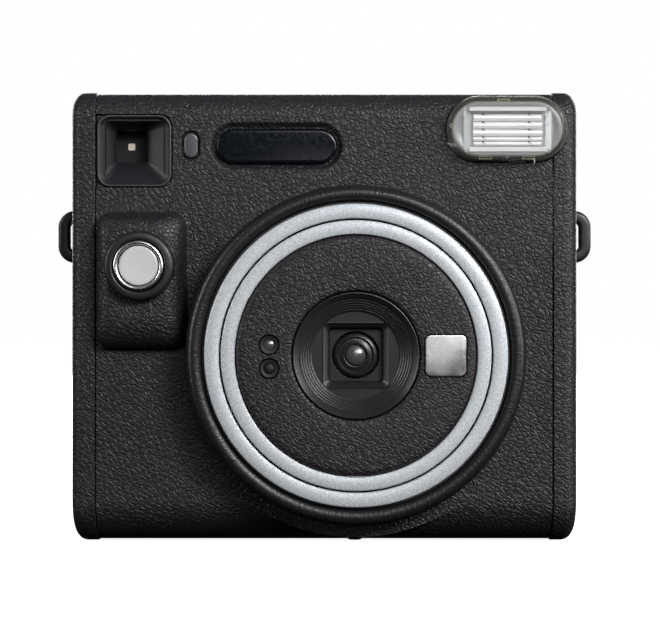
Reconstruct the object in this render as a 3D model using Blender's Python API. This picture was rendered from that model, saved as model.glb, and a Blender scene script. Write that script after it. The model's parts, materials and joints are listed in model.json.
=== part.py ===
"""Square-format instant camera, built as separate solids that meet with small gaps.

Run with: blender --background --python part.py
Sizes are in millimetres, and MM turns them into Blender's metres. +X is to the right as seen
from the front, +Y points to the back and +Z is up. The origin is on the table, under the middle
of the camera's box. Angles about the lens are seen from the front, from +X towards +Z.
"""

from math import acos, atan2, cos, pi, radians, sin, sqrt, tan

import bmesh
import bpy
from mathutils import Matrix, Vector

MM = 0.001
GAP = 0.3  # what neighbouring pieces keep between them

# The body's box
WIDTH = 134.2
DEPTH = 60.8
HEIGHT = 120.2
HALF_WIDTH = WIDTH / 2
LENS_FRONT = -DEPTH / 2
EYEPIECE_BACK = DEPTH / 2
FACE = -16.4  # the body's flat front
BACK = 28.6  # the body's flat back
SIDE_BOTTOM = 0.25
COVER_BOTTOM = 0.6
COVER_TOP = HEIGHT - 0.4
WALL = 2.0
FOOT_POCKET = (-1.0, 1.3)  # from below the cover to the ceiling over a foot
SEAM_X = 60.5  # where the side covers begin
SEAM_Y = 5.0  # where the front and rear covers meet
CORNER_RADII = (11.5, 6.0, 6.0, 6.5)  # front bottom, back bottom, back top, front top
LUG_OUT = 73.4  # how far the strap lugs stand out
SIDE_ROUND_X = 3.4
SIDE_ROUND_IN = 4.6

# The lens, its rings and its travel
LENS_X = 8.2
LENS_Z = 50.4
BOSS_RADIUS = 48.2
BORE_RADIUS = 41.0
RING_TURN = 60.0
LENS_TRAVEL = 18.0
PIN_Y = -5.2
PIN_ANGLES = (90, 210, 330)
PIN_RADIUS = 1.2
SLOT_WIDTH = 3.0

FOOT_PLACE = (LENS_X, -2.4)
REAR_FOOT_PLACE = (0.0, 19.0)

# The grip and its button
BUTTON_X = -48.0
BUTTON_Z = 73.6
BUTTON_FRONT = -27.2

# The windows on the front
FINDER_X = -50.15
FINDER_Z = 104.2
SENSOR_X = -35.2
SENSOR_Z = 105.6
BADGE_X = -12.7
BADGE_Z = 105.8
FLASH_X = 48.1
FLASH_Z = 109.8
FLASH_SIZE = (31.8, 17.1)
FLASH_FRONT = -20.0

# The film path
PACK = ((-31.6, 8.2, 10.5), (47.4, 24.6, 102.0))
FILM_Y = 10.4
ROLLER_Z = 107.0
ROLLER_RADIUS = 4.0
ROLLER_APART = 8.3
ROLLER_ENDS = (-31.5, 47.3)
GEAR_X = (51.0, 55.0)
GEAR_MODULE = ROLLER_APART / 14
ROLLER_TEETH = 14
IDLER_TEETH = 20
PINION_TEETH = 12
IDLER_WAY = radians(-80)
PINION_WAY = radians(200)
SLOT = ((-30.2, 7.7), (46.0, 13.1))  # the film exit in the top wall

# The film door and its hinge
DOOR_X = (-36.5, 52.4)
DOOR_Z = (8.2, 106.2)
DOOR_Y = (25.7, 28.5)
HINGE_X = 53.9
HINGE_Y = 27.05
HINGE_RADIUS = 1.45
KNUCKLE = 3.4

BATTERY_X = -55.9
BATTERY_Y = 12.0
BATTERY_RADIUS = 7.8
POWER_DOOR_Y = (3.8, 19.35)
POWER_DOOR_Z = (11.3, 69.7)
COUNTER_X = -48.0
COUNTER_Z = 28.0

BIG_ROUND = 64
ROUND = 32
SMALL_ROUND = 16


# ---------------------------------------------------------------- materials

def material(name, colour, roughness, metallic=0.0):
    found = bpy.data.materials.get(name)
    if found:
        return found
    made = bpy.data.materials.new(name)
    made.use_nodes = True
    shader = made.node_tree.nodes["Principled BSDF"]
    shader.inputs["Base Color"].default_value = (*colour, 1)
    shader.inputs["Roughness"].default_value = roughness
    shader.inputs["Metallic"].default_value = metallic
    return made


FINISHES = {
    "leatherette": ((0.02, 0.02, 0.023), 0.55, 0),
    "black_plastic": ((0.015, 0.015, 0.016), 0.4, 0),
    "gloss_black": ((0.01, 0.011, 0.013), 0.08, 0),
    "silver_trim": ((0.6, 0.62, 0.65), 0.4, 0.6),
    "button_silver": ((0.7, 0.7, 0.7), 0.35, 0.7),
    "polished_metal": ((0.85, 0.85, 0.85), 0.08, 1),
    "clear_plastic": ((0.8, 0.82, 0.78), 0.1, 0),
    "lens_glass": ((0.25, 0.27, 0.3), 0.03, 0),
    "reflector": ((0.9, 0.9, 0.88), 0.1, 1),
    "grey_plastic": ((0.2, 0.2, 0.21), 0.5, 0),
    "white_plastic": ((0.8, 0.8, 0.78), 0.5, 0),
    "steel": ((0.55, 0.55, 0.56), 0.3, 1),
    "rubber": ((0.02, 0.02, 0.02), 0.8, 0),
    "board_green": ((0.02, 0.12, 0.05), 0.5, 0),
    "film_white": ((0.85, 0.85, 0.82), 0.5, 0),
}


def finish(name):
    return material(name, *FINISHES[name])


# ---------------------------------------------------------------- shape tools

def solid(name, points, faces, look):
    """A closed mesh object from points in millimetres."""
    mesh = bpy.data.meshes.new(name)
    mesh.from_pydata([Vector(p) * MM for p in points], [], faces)
    shape = bmesh.new()
    shape.from_mesh(mesh)
    bmesh.ops.recalc_face_normals(shape, faces=shape.faces)
    shape.to_mesh(mesh)
    shape.free()
    mesh.shade_smooth()
    mesh.set_sharp_from_angle(angle=radians(32))
    made = bpy.data.objects.new(name, mesh)
    bpy.context.scene.collection.objects.link(made)
    mesh.materials.append(finish(look))
    return made


def loft(name, loops, look="black_plastic", closed=False):
    """A skin over loops of equally many points: capped at both ends, or closed into a ring of loops."""
    size = len(loops[0])
    points = [p for loop in loops for p in loop]
    faces = []
    for i in range(len(loops) if closed else len(loops) - 1):
        a, b = i * size, ((i + 1) % len(loops)) * size
        for j in range(size):
            k = (j + 1) % size
            faces.append((a + j, a + k, b + k, b + j))
    if not closed:
        faces.append(tuple(range(size - 1, -1, -1)))
        faces.append(tuple(range(len(points) - size, len(points))))
    return solid(name, points, faces, look)


def place(outline, axis, at):
    """A flat outline put square to an axis: (x, z) along Y, (y, z) along X and (x, y) along Z."""
    if axis == "X":
        return [(at, u, v) for u, v in outline]
    if axis == "Y":
        return [(u, at, v) for u, v in outline]
    return [(u, v, at) for u, v in outline]


def prism(name, outline, axis, ends, look="black_plastic"):
    return loft(name, [place(outline, axis, at) for at in ends], look)


def box(name, low, high, look="black_plastic"):
    outline = [(low[0], low[1]), (high[0], low[1]), (high[0], high[1]), (low[0], high[1])]
    return prism(name, outline, "Z", (low[2], high[2]), look)


def circle(centre, radius, count=ROUND):
    turn = 2 * pi / count
    return [(centre[0] + radius * cos(i * turn), centre[1] + radius * sin(i * turn)) for i in range(count)]


def rounded(centre, size, radius, steps=4):
    """A rectangle with round corners."""
    half_u, half_v = size[0] / 2 - radius, size[1] / 2 - radius
    points = []
    for corner, (su, sv) in enumerate(((1, 1), (-1, 1), (-1, -1), (1, -1))):
        for i in range(steps + 1):
            angle = (corner + i / steps) * pi / 2
            points.append((centre[0] + su * half_u + radius * cos(angle),
                           centre[1] + sv * half_v + radius * sin(angle)))
    return points


def capsule(centre, size, steps=8):
    return rounded(centre, size, min(size) / 2 - 0.01, steps)


def turned(name, centre, profile, look="black_plastic", axis="Y", count=ROUND, closed=False):
    """A profile of (radius, place along the axis) turned about an axis through centre."""
    loops = [place(circle(centre, radius, count), axis, at) for radius, at in profile]
    return loft(name, loops, look, closed)


def rod(name, centre, radius, ends, look="black_plastic", axis="Y", count=SMALL_ROUND):
    return turned(name, centre, [(radius, ends[0]), (radius, ends[1])], look, axis, count)


def tube(name, centre, radii, ends, look="black_plastic", axis="Y", count=ROUND):
    inner, outer = radii
    profile = [(inner, ends[0]), (outer, ends[0]), (outer, ends[1]), (inner, ends[1])]
    return turned(name, centre, profile, look, axis, count, closed=True)


def combine(target, others, operation):
    """A Boolean between target and each helper, which then counts as a cutter."""
    for other in others:
        modifier = target.modifiers.new(other.name, "BOOLEAN")
        modifier.operation = operation
        modifier.solver = "EXACT"
        modifier.object = other
        other.hide_render = True
        other.display_type = "WIRE"
    return target


def subtract(target, *cutters):
    return combine(target, cutters, "DIFFERENCE")


def unite(target, *others):
    return combine(target, others, "UNION")


def hang(at, *names):
    """Put these objects' origins on their joint, without moving their shapes."""
    spot = Vector(at) * MM
    for name in names:
        piece = bpy.data.objects[name]
        piece.data.transform(Matrix.Translation(-spot))
        piece.location = spot


def around_lens(angle, radius, along):
    """A point at this angle and radius about the lens axis."""
    turn = radians(angle)
    return (LENS_X + radius * cos(turn), along, LENS_Z + radius * sin(turn))


# ---------------------------------------------------------------- covers

def body_outline(inset, bottom, top, steps=5):
    """The body's side view, as (y, z), shrunk by inset on every side."""
    low_y, high_y = FACE + inset, BACK - inset
    low_z, high_z = bottom + inset, top - inset
    corners = ((low_y, low_z, 1, 1, 180), (high_y, low_z, -1, 1, 270),
               (high_y, high_z, -1, -1, 0), (low_y, high_z, 1, -1, 90))
    points = []
    for (y, z, sy, sz, start), whole in zip(corners, CORNER_RADII):
        radius = max(whole - inset, 0.8)
        for i in range(steps + 1):
            angle = radians(start + 90 * i / steps)
            points.append((y + sy * radius + radius * cos(angle), z + sz * radius + radius * sin(angle)))
    return points


def half_shell(name, front, look):
    """The front or the back half of the body's skin, between the side covers."""
    skin = prism(name, body_outline(0, COVER_BOTTOM, COVER_TOP), "X", (-SEAM_X + GAP, SEAM_X - GAP), look)
    hollow = prism(name + "_hollow", body_outline(WALL, COVER_BOTTOM, COVER_TOP), "X", (-SEAM_X, SEAM_X))
    cut_low, cut_high = (SEAM_Y - GAP / 2, BACK + 5) if front else (FACE - 5, SEAM_Y + GAP / 2)
    other_half = box(name + "_half", (-HALF_WIDTH, cut_low, -5), (HALF_WIDTH, cut_high, HEIGHT + 5))
    return subtract(skin, hollow, other_half)


def grip_loops(shrink=0.0):
    """The raised grip's cross-sections, as (y, low x, high x, low z, high z, corner radius)."""
    sections = ((-14.9, -59.9, -36.6, 52.1, 87.5, 3.0), (-16.6, -60.0, -36.7, 52.2, 87.5, 3.0),
                (-17.4, -60.1, -36.8, 52.6, 87.3, 3.2),
                (-20.8, -59.5, -37.8, 54.8, 86.3, 3.6), (-22.8, -58.2, -39.6, 58.6, 85.2, 3.8),
                (-23.6, -56.4, -41.4, 61.4, 83.8, 3.0))
    loops = []
    for y, x0, x1, z0, z1, radius in sections:
        centre = ((x0 + x1) / 2, (z0 + z1) / 2)
        size = (x1 - x0 - 2 * shrink, z1 - z0 - 2 * shrink)
        loops.append(place(rounded(centre, size, max(radius - shrink, 0.8)), "Y", y + shrink))
    return loops


def flash_hole(name, extra):
    size = (FLASH_SIZE[0] + 2 * extra, FLASH_SIZE[1] + 2 * extra)
    return prism(name, capsule((FLASH_X, FLASH_Z), size), "Y", (FACE - 8, -6.0))


def front_cover():
    cover = half_shell("front_cover", True, "leatherette")
    lens = (LENS_X, LENS_Z)
    boss = turned("boss", lens, [(BOSS_RADIUS, FACE + 0.05), (BOSS_RADIUS, -7.0)], count=BIG_ROUND)
    unite(cover, boss, loft("grip", grip_loops()))
    finder = (FINDER_X - 4, FINDER_Z)
    subtract(
        cover,
        rod("lens_bore", lens, BORE_RADIUS, (FACE - 6, 0), count=BIG_ROUND),
        loft("grip_hollow", grip_loops(WALL)),
        rod("button_hole", (BUTTON_X, BUTTON_Z), 8.42 + GAP, (-30, -18), count=ROUND),
        prism("finder_seat", rounded(finder, (28.5, 19.6), 3.5), "Y", (FACE - 3, FACE + 1.0)),
        prism("finder_hole", rounded((FINDER_X, FINDER_Z), (16.6, 16.6), 1.0), "Y", (FACE - 3, -10)),
        prism("sensor_hole", capsule((SENSOR_X, SENSOR_Z), (4.1, 7.1)), "Y", (FACE - 3, -10)),
        prism("badge_seat", capsule((BADGE_X, BADGE_Z), (32.3, 10.5)), "Y", (FACE - 3, FACE + 1.2)),
        flash_hole("flash_hole_front", GAP),
        rod("foot_pocket", FOOT_PLACE, 2.3, FOOT_POCKET, axis="Z", count=24),
    )
    return cover


def rear_cover():
    cover = half_shell("rear_cover", False, "leatherette")
    door_hole = box("door_hole", (DOOR_X[0] - 0.4, SEAM_Y + 12, DOOR_Z[0] - 0.4),
                    (HINGE_X + HINGE_RADIUS + 1.05, BACK + 4, DOOR_Z[1] + 0.4))
    subtract(
        cover,
        door_hole,
        box("exit_slot", (*SLOT[0], COVER_TOP - 5), (*SLOT[1], COVER_TOP + 5)),
        box("eyepiece_hole", (-58.2, 20, 98.1), (-43.0, BACK + 4, 111.5)),
        rod("counter_hole", (COUNTER_X, COUNTER_Z + 4.2), 3.5, (20, BACK + 4)),
        prism("long_foot_pocket", capsule(REAR_FOOT_PLACE, (92.6, 5.6)), "Z", FOOT_POCKET),
    )
    for low, tag in ((DOOR_Z[0] + 0.2, "low"), (DOOR_Z[1] - 0.2 - KNUCKLE, "high")):
        knuckle = rod("knuckle_" + tag, (HINGE_X, HINGE_Y), HINGE_RADIUS, (low, low + KNUCKLE), axis="Z")
        tab = box("knuckle_tab_" + tag, (HINGE_X, HINGE_Y - 1.35, low + 0.1),
                  (SEAM_X - 2.5, HINGE_Y + 0.6, low + KNUCKLE - 0.1))
        unite(cover, tab, knuckle)
    unite(cover, rod("hinge_pin", (HINGE_X, HINGE_Y), 0.65, (DOOR_Z[0] + 1, DOOR_Z[1] - 1), axis="Z", count=12))
    return cover


def side_stations(wall):
    """Places across a side cover and how far the outline is shrunk there, from the seam outwards."""
    start = SEAM_X - (1 if wall else 0)
    reach, shrink = SIDE_ROUND_X, SIDE_ROUND_IN
    stations = [(start, wall)]
    for i in range(5):
        angle = i / 4 * pi / 2
        stations.append((HALF_WIDTH - wall - reach + reach * sin(angle), wall + shrink * (1 - cos(angle))))
    return stations


def side_cover(name, side):
    def shell(tag, wall):
        loops = [place(body_outline(inset, SIDE_BOTTOM, HEIGHT), "X", side * x) for x, inset in side_stations(wall)]
        return loft(tag, loops, "leatherette")

    cover = subtract(shell(name, 0), shell(name + "_hollow", WALL))
    out = side * HALF_WIDTH
    near, far = sorted((side * 62, side * 70))
    dish_low, dish_high = sorted((out - side * 1.2, out + side * 5))
    subtract(
        cover,
        box(name + "_lug_slot", (near, 3.3, 75.6), (far, 6.9, 89.6)),
        box(name + "_lug_dish", (dish_low, -0.4, 79.0), (dish_high, 10.6, 86.2)),
    )
    hole = rod(name + "_screw_hole", SCREW_PLACE, 1.3, (near, far), axis="X")
    subtract(cover, hole, rod(name + "_screw_sink", SCREW_PLACE, 2.4, (dish_low, dish_high), axis="X"))
    if side > 0:
        subtract(cover, flash_hole("flash_hole_side", GAP))
    else:
        opening = box("battery_opening", (-70, POWER_DOOR_Y[0] - 0.35, POWER_DOOR_Z[0] - 0.35),
                      (-62, POWER_DOOR_Y[1] + 1.3, POWER_DOOR_Z[1] + 0.35))
        subtract(cover, opening)
    return cover


SCREW_PLACE = (-4.0, 100.0)


def case_screw(name, side):
    """A cross-head screw that holds a side cover."""
    out = side * HALF_WIDTH
    profile = [(1.0, out - side * 8), (1.0, out - side * 0.95), (2.05, out - side * 0.9),
               (2.05, out - side * 0.5), (1.7, out - side * 0.2)]
    screw = turned(name, SCREW_PLACE, profile, "steel", "X", SMALL_ROUND)
    low, high = sorted((out - side * 0.6, out + side))
    y, z = SCREW_PLACE
    cross = [box(f"{name}_cross_{k}", (low, y - u, z - v), (high, y + u, z + v))
             for k, (u, v) in enumerate(((1.1, 0.22), (0.22, 1.1)))]
    return subtract(screw, *cross)


def strap_lug(name, side):
    """A D-shaped loop whose feet pass through the side cover's slot."""
    def outline(x0, x1, z0, z1, radius):
        points = [(side * x0, z0), (side * x0, z1)]
        for start, cz in ((90, z1 - radius), (0, z0 + radius)):
            for i in range(5):
                angle = radians(start - i * 22.5)
                points.append((side * (x1 - radius + radius * cos(angle)), cz + radius * sin(angle)))
        return points

    loop = prism(name, outline(62.8, LUG_OUT, 75.9, 89.3, 3.6), "Y", (3.6, 6.6), "black_plastic")
    hole = prism(name + "_hole", outline(66.0, LUG_OUT - 3.2, 79.2, 86.0, 1.2), "Y", (0, 10))
    return subtract(loop, hole)


def feet():
    """A round foot under the lens and a long one at the back, each in a shallow pocket."""
    turned("foot_front", FOOT_PLACE, [(1.7, 0), (2.0, 0.3), (2.0, 1.0)], "rubber", "Z", 20)
    prism("foot_rear", capsule(REAR_FOOT_PLACE, (92, 5)), "Z", (0, 1.0), "rubber")


# ---------------------------------------------------------------- windows and flash

def front_windows():
    prism("badge_plate", capsule((BADGE_X, BADGE_Z), (31.5, 9.6)), "Y", (FACE - 0.5, FACE + 0.9), "gloss_black")
    prism("flash_sensor_window", capsule((SENSOR_X, SENSOR_Z), (3.5, 6.5)), "Y", (FACE - 0.2, -13.5),
          "grey_plastic")


def viewfinder():
    centre = (FINDER_X, FINDER_Z)
    inside = (-51.5, 105.8)
    sections = ((inside, (8.1, 8.5), 0.5, -9.6), (inside, (8.1, 8.5), 0.5, -10.6),
                (centre, (18.3, 17.7), 2.7, FACE - 0.2), (centre, (19.5, 18.9), 3.3, FACE - 0.1),
                (centre, (19.5, 18.9), 3.3, FACE + 0.6), (centre, (15.7, 15.7), 1.0, FACE + 0.7),
                (inside, (10.6, 11.0), 1.0, -9.6))
    loft("viewfinder_bezel", [place(rounded(c, s, r), "Y", y) for c, s, r, y in sections],
         "black_plastic", closed=True)

    def square_tube(name, outer, inner, ends, look):
        loops = [place(rounded(inside, (s, s), 0.4, 2), "Y", y) for s, y in
                 ((inner, ends[0]), (outer, ends[0]), (outer, ends[1]), (inner, ends[1]))]
        return loft(name, loops, look, closed=True)

    square_tube("viewfinder_tube", 12.0, 10.2, (-9.2, 22.0), "black_plastic")
    lens_size = (9.6, 9.6)
    prism("viewfinder_front_lens", rounded(inside, lens_size, 0.3, 2), "Y", (-7.6, -5.8), "lens_glass")
    prism("viewfinder_rear_lens", rounded(inside, lens_size, 0.3, 2), "Y", (18.4, 20.2), "lens_glass")
    eyepiece = (-50.6, 104.8)
    loops = [place(rounded(c, s, r), "Y", y) for c, s, r, y in (
        (inside, (8.4, 8.4), 0.6, 22.4), (eyepiece, (14.4, 12.6), 1.4, 22.4),
        (eyepiece, (14.4, 12.6), 1.4, BACK + 0.9), (eyepiece, (13.0, 11.2), 1.4, EYEPIECE_BACK),
        (eyepiece, (11.4, 9.8), 1.2, EYEPIECE_BACK), (inside, (8.4, 8.4), 0.6, 25.0))]
    loft("eyepiece_frame", loops, "rubber", closed=True)


def flash():
    centre = (FLASH_X, FLASH_Z)
    window = prism("flash_window", capsule(centre, FLASH_SIZE), "Y", (FLASH_FRONT, -8.0), "clear_plastic")
    size = (FLASH_SIZE[0] - 2.4, FLASH_SIZE[1] - 2.4)
    subtract(window, prism("flash_hollow", capsule(centre, size), "Y", (FLASH_FRONT + 1.4, 0)))
    middle = (FLASH_X, FLASH_Z - 0.1)
    dish = prism("flash_reflector", rounded(middle, (23.6, 12.4), 2.4, 3), "Y", (-18.0, -9.6), "reflector")
    loops = [place(rounded(middle, s, 1.9, 3), "Y", y) for s, y in
             (((20.0, 4.6), -10.6), ((20.8, 7.6), -12.4), ((22.4, 11.2), -18.6))]
    tube_hole = rod("tube_hole", (-12.6, FLASH_Z - 0.1), 1.75, (FLASH_X - 20, FLASH_X + 20), axis="X")
    subtract(dish, loft("dish_hollow", loops), tube_hole)
    rod("flash_tube", (-12.6, FLASH_Z - 0.1), 1.4, (FLASH_X - 13, FLASH_X + 13), "lens_glass", "X")
    turned("flash_capacitor", (56.4, 0.2), [(5.9, 40), (6.2, 40.6), (6.2, 79.4), (5.9, 80)],
           "black_plastic", "Z", 24)


# ---------------------------------------------------------------- shutter button

def button():
    centre = (BUTTON_X, BUTTON_Z)
    turned("button_collar", centre,
           [(2.5, -20.4), (6.8, -20.4), (6.8, -26.3), (7.4, -27.0), (8.0, -26.6), (8.42, -25.6),
            (8.42, -19.4), (2.5, -19.4)], "black_plastic", closed=True)
    turned("button_bezel", centre,
           [(5.45, -24.4), (5.45, -27.4), (5.9, -27.7), (6.35, -27.4), (6.5, -26.9), (6.5, -24.4)],
           "polished_metal", closed=True)
    turned("shutter_button", centre,
           [(4.7, BUTTON_FRONT), (5.15, BUTTON_FRONT + 0.4), (5.15, -25.5), (4.6, -25.2), (2.0, -25.2),
            (2.0, -13.6)], "button_silver")
    turns, steps, wire, radius = 4, 14, 0.28, 3.3
    low, high = -23.6, -20.9
    loops = []
    for i in range(turns * steps + 1):
        angle, share = 2 * pi * i / steps, i / (turns * steps)
        middle = Vector((BUTTON_X + radius * cos(angle), low + (high - low) * share, BUTTON_Z + radius * sin(angle)))
        outward = Vector((cos(angle), 0, sin(angle)))
        loops.append([tuple(middle + wire * (cos(k * pi / 3) * outward + sin(k * pi / 3) * Vector((0, 1, 0))))
                      for k in range(6)])
    loft("button_spring", loops, "steel")


# ---------------------------------------------------------------- mode ring and lens barrel

def guide_tube():
    centre = (LENS_X, LENS_Z)
    profile = [(34.5, -26.8), (35.8, -26.8), (35.8, 1.2), (39.0, 1.2), (39.0, 2.6), (34.5, 2.6)]
    guide = turned("guide_tube", centre, profile, "black_plastic", count=BIG_ROUND, closed=True)
    for angle in PIN_ANGLES:
        half = radians(90)
        across = (SLOT_WIDTH / 2 * cos(radians(angle) + half), SLOT_WIDTH / 2 * sin(radians(angle) + half))
        loops = []
        for y in (PIN_Y - LENS_TRAVEL - 2, PIN_Y + 2):
            near, far = around_lens(angle, 32, y), around_lens(angle, 37.2, y)
            loops.append([(near[0] - across[0], y, near[2] - across[1]), (far[0] - across[0], y, far[2] - across[1]),
                          (far[0] + across[0], y, far[2] + across[1]), (near[0] + across[0], y, near[2] + across[1])])
        subtract(guide, loft(f"guide_slot_{angle}", loops))
    return guide


def mode_ring():
    """The ring that the hand turns: a sleeve with helical slots, its rubbery grip and its silver trim."""
    centre = (LENS_X, LENS_Z)
    profile = [(36.2, -27.9), (39.6, -27.9), (39.6, -26.9), (37.9, -26.9), (37.9, -2.4), (36.2, -2.4)]
    sleeve = turned("ring_sleeve", centre, profile, "black_plastic", count=BIG_ROUND, closed=True)
    slope = LENS_TRAVEL / (radians(RING_TURN) * 37)
    tilt = atan2(slope, 1)
    for start in PIN_ANGLES:
        loops = []
        for i in range(-1, 14):
            share = i / 12.5
            angle, y = start - RING_TURN * share, PIN_Y - LENS_TRAVEL * share
            loop = []
            for radius, sign in ((35, -1), (40, -1), (40, 1), (35, 1)):
                turn = sign * SLOT_WIDTH / 2 * sin(tilt) / 37
                loop.append(around_lens(angle + turn * 180 / pi, radius, y - sign * SLOT_WIDTH / 2 * cos(tilt)))
            loops.append(loop)
        subtract(sleeve, loft(f"helical_slot_{start}", loops))
    turned("ring_grip", centre,
           [(38.2, -26.6), (39.9, -26.6), (39.9, -27.7), (40.7, -28.4), (41.9, -28.6), (43.1, -28.1),
            (44.0, -26.7), (44.2, -25.0), (43.9, -22.0), (43.1, -19.0), (42.7, -16.9), (38.2, -16.9)],
           "rubber", count=BIG_ROUND, closed=True)
    tube("ring_trim", centre, (35.3, 39.1), (-29.3, -28.2), "silver_trim", count=BIG_ROUND)


def lens_barrel():
    centre = (LENS_X, LENS_Z)
    profile = [(16.8, -28.0), (34.1, -28.0), (34.1, -2.6), (32.6, -2.6), (32.6, -26.6), (16.8, -26.6)]
    barrel = turned("barrel_tube", centre, profile, "black_plastic", count=BIG_ROUND, closed=True)
    for angle in PIN_ANGLES:
        turn = Matrix.Rotation(radians(90 - angle), 4, "Y")
        pin = rod(f"pin_{angle}", (0, 0), PIN_RADIUS, (33.4, 37.7), axis="Z")
        pin.data.transform(turn)
        pin.location = Vector((LENS_X, PIN_Y, LENS_Z)) * MM
        unite(barrel, pin)
    tube("barrel_trim", centre, (31.2, 34.8), (-29.6, -28.4), "silver_trim", count=BIG_ROUND)
    disc_profile = [(16.6, -28.4), (30.9, -28.4), (30.9, -29.8), (30.4, LENS_FRONT), (17.0, LENS_FRONT),
                    (16.6, -30.1)]
    disc = turned("front_disc", centre, disc_profile, "leatherette", count=BIG_ROUND, closed=True)
    mirror = (LENS_X + 23.0, LENS_Z)
    meters = [(LENS_X - 22.3, LENS_Z + 2.8), (LENS_X - 22.3, LENS_Z - 3.3)]
    web = (meters[0][0], (meters[0][1] + meters[1][1]) / 2)
    subtract(disc, prism("mirror_hole", rounded(mirror, (11.3, 11.3), 1.9), "Y", (-32, -26)),
             prism("meter_seat", capsule(web, (5.7, 11.8)), "Y", (-29.4, -26)),
             *[rod(f"meter_hole_{i}", m, 2.75, (-32, -26), count=20) for i, m in enumerate(meters)])
    prism("selfie_mirror", rounded(mirror, (10.7, 10.7), 1.6), "Y", (-30.15, -28.4), "polished_metal")
    lenses = prism("meter_lenses", capsule(web, (5.1, 11.2)), "Y", (-29.1, -28.4), "lens_glass")
    unite(lenses, *[rod(f"meter_{i}", m, 2.4, (-29.8, -28.7), count=20) for i, m in enumerate(meters)])
    hood = turned("lens_hood", centre, [(16.3, -30.3), (16.3, -22.4)], "black_plastic", count=48)
    subtract(
        hood,
        turned("hood_cone", centre, [(15.9, -31.0), (15.6, -30.2), (13.6, -27.4), (11.2, -25.2)], count=48),
        prism("hood_square", rounded(centre, (17.2, 17.2), 1.5), "Y", (-30, -20)),
    )


def shutter():
    centre = (LENS_X, LENS_Z)

    def near(x0, x1, z0, z1, y0, y1):
        return (LENS_X + x0, y0, LENS_Z + z0), (LENS_X + x1, y1, LENS_Z + z1)

    housing = box("shutter_housing", *near(-16, 16, -16, 16, -22.0, -9.8), "black_plastic")
    subtract(
        housing,
        rod("light_path", centre, 4.2, (-25, -5), count=ROUND),
        rod("front_seat", centre, 6.3, (-25, -18.2), count=ROUND),
        rod("rear_seat", centre, 6.3, (-12, -5), count=ROUND),
        box("blade_room", *near(-14, 14, -13, 13, -16.0, -13.2)),
        box("blade_mouth", *near(12, 20, -4, 4, -15.6, -13.6)),
    )
    turned("front_lens", centre, [(2.6, -21.3), (4.4, -20.9), (5.9, -20.2), (5.9, -18.6), (4.0, -18.5)], "lens_glass")
    turned("rear_lens", centre, [(4.0, -11.6), (5.9, -11.5), (5.9, -10.4), (3.4, -10.0)], "lens_glass")
    for name, sign, low in (("shutter_blade_upper", 1, -15.5), ("shutter_blade_lower", -1, -14.1)):
        outline = [(LENS_X - 11.5, LENS_Z), (LENS_X - 11.5, LENS_Z + sign * 4), (LENS_X - 5, LENS_Z + sign * 5.2),
                   (LENS_X + 5.5, LENS_Z + sign * 5.2), (LENS_X + 5.5, LENS_Z - sign * 0.4),
                   (LENS_X - 5, LENS_Z - sign * 0.4)]
        blade = prism(name, outline, "Y", (low, low + 0.5), "steel")
        pivot = (LENS_X - 9.5, LENS_Z + sign * 2)
        subtract(blade, rod(name + "_hole", pivot, 0.75, (-20, -10)))
        unite(housing, rod(name + "_pin", pivot, 0.6, (-16.4, -12.9)))
        hang((pivot[0], low, pivot[1]), name)


# ---------------------------------------------------------------- film path

def chassis():
    frame = box("chassis", (-34.2, 5.2, 7.7), (50.0, 24.4, 102.5), "black_plastic")
    aperture_x, aperture_z = (LENS_X - 32, LENS_X + 32), (LENS_Z - 32, LENS_Z + 32)
    subtract(
        frame,
        box("chamber", (-32.4, 7.6, 9.7), (48.2, 30, 110)),
        box("picture_hole", (aperture_x[0], 0, aperture_z[0]), (aperture_x[1], 9, aperture_z[1])),
        box("claw_slot", (-40, 9.0, 12.0), (-32, 13.0, 28.0)),
    )
    seat = tube("guide_seat", (LENS_X, LENS_Z), (34.5, 38.5), (2.9, 6.4), count=BIG_ROUND)
    holes = [box("seat_window", (aperture_x[0] + 3, 0, aperture_z[0] + 3), (aperture_x[1] - 3, 5.0, aperture_z[1] - 3))]
    unite(frame, seat)
    subtract(frame, *holes)


def film_pack():
    low, high = PACK
    case = box("film_cartridge", low, high, "black_plastic")
    subtract(
        case,
        box("pack_room", (low[0] + 2, 9.4, low[2] + 1.6), (high[0] - 2, high[1] - 1.6, high[2] - 1.8)),
        box("pack_window", (LENS_X - 31, 5, LENS_Z - 31), (LENS_X + 31, 10.5, LENS_Z + 31)),
        box("pack_exit", (low[0] + 3, 9.6, high[2] - 4), (high[0] - 3, 11.2, high[2] + 3)),
    )
    box("film_sheets", (LENS_X - 36, 9.8, 12.6), (LENS_X + 36, 14.6, 99.0), "film_white")
    claw = box("film_claw", (-36.2, 8.6, 12.5), (-34.6, 14.6, 52.0), "steel")
    unite(claw, box("claw_hook", (-35.4, 10.2, 13.2), (-32.0, 12.0, 15.2)))


def tooth_outline(teeth, phase):
    """An involute gear's outline in the (y, z) plane, with one tooth centred at phase."""
    pitch = GEAR_MODULE * teeth / 2
    base = pitch * cos(radians(20))
    tip, root = pitch + 0.78 * GEAR_MODULE, pitch - 1.2 * GEAR_MODULE
    backlash = 0.07

    def roll(radius):
        share = min(base / radius, 1.0)
        return tan(acos(share)) - acos(share)

    half = pi / (2 * teeth) - backlash / pitch
    flank = [max(base, root) + (tip - max(base, root)) * i / 3 for i in range(4)]
    points = []
    for k in range(teeth):
        middle = phase + 2 * pi * k / teeth
        widths = [half + roll(pitch) - roll(r) for r in flank]
        left = [(root, -widths[0])] + [(r, -w) for r, w in zip(flank, widths)]
        right = [(r, w) for r, w in reversed(list(zip(flank, widths)))] + [(root, widths[0])]
        for radius, off in left + right:
            points.append((radius * cos(middle + off), radius * sin(middle + off)))
    return points


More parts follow.
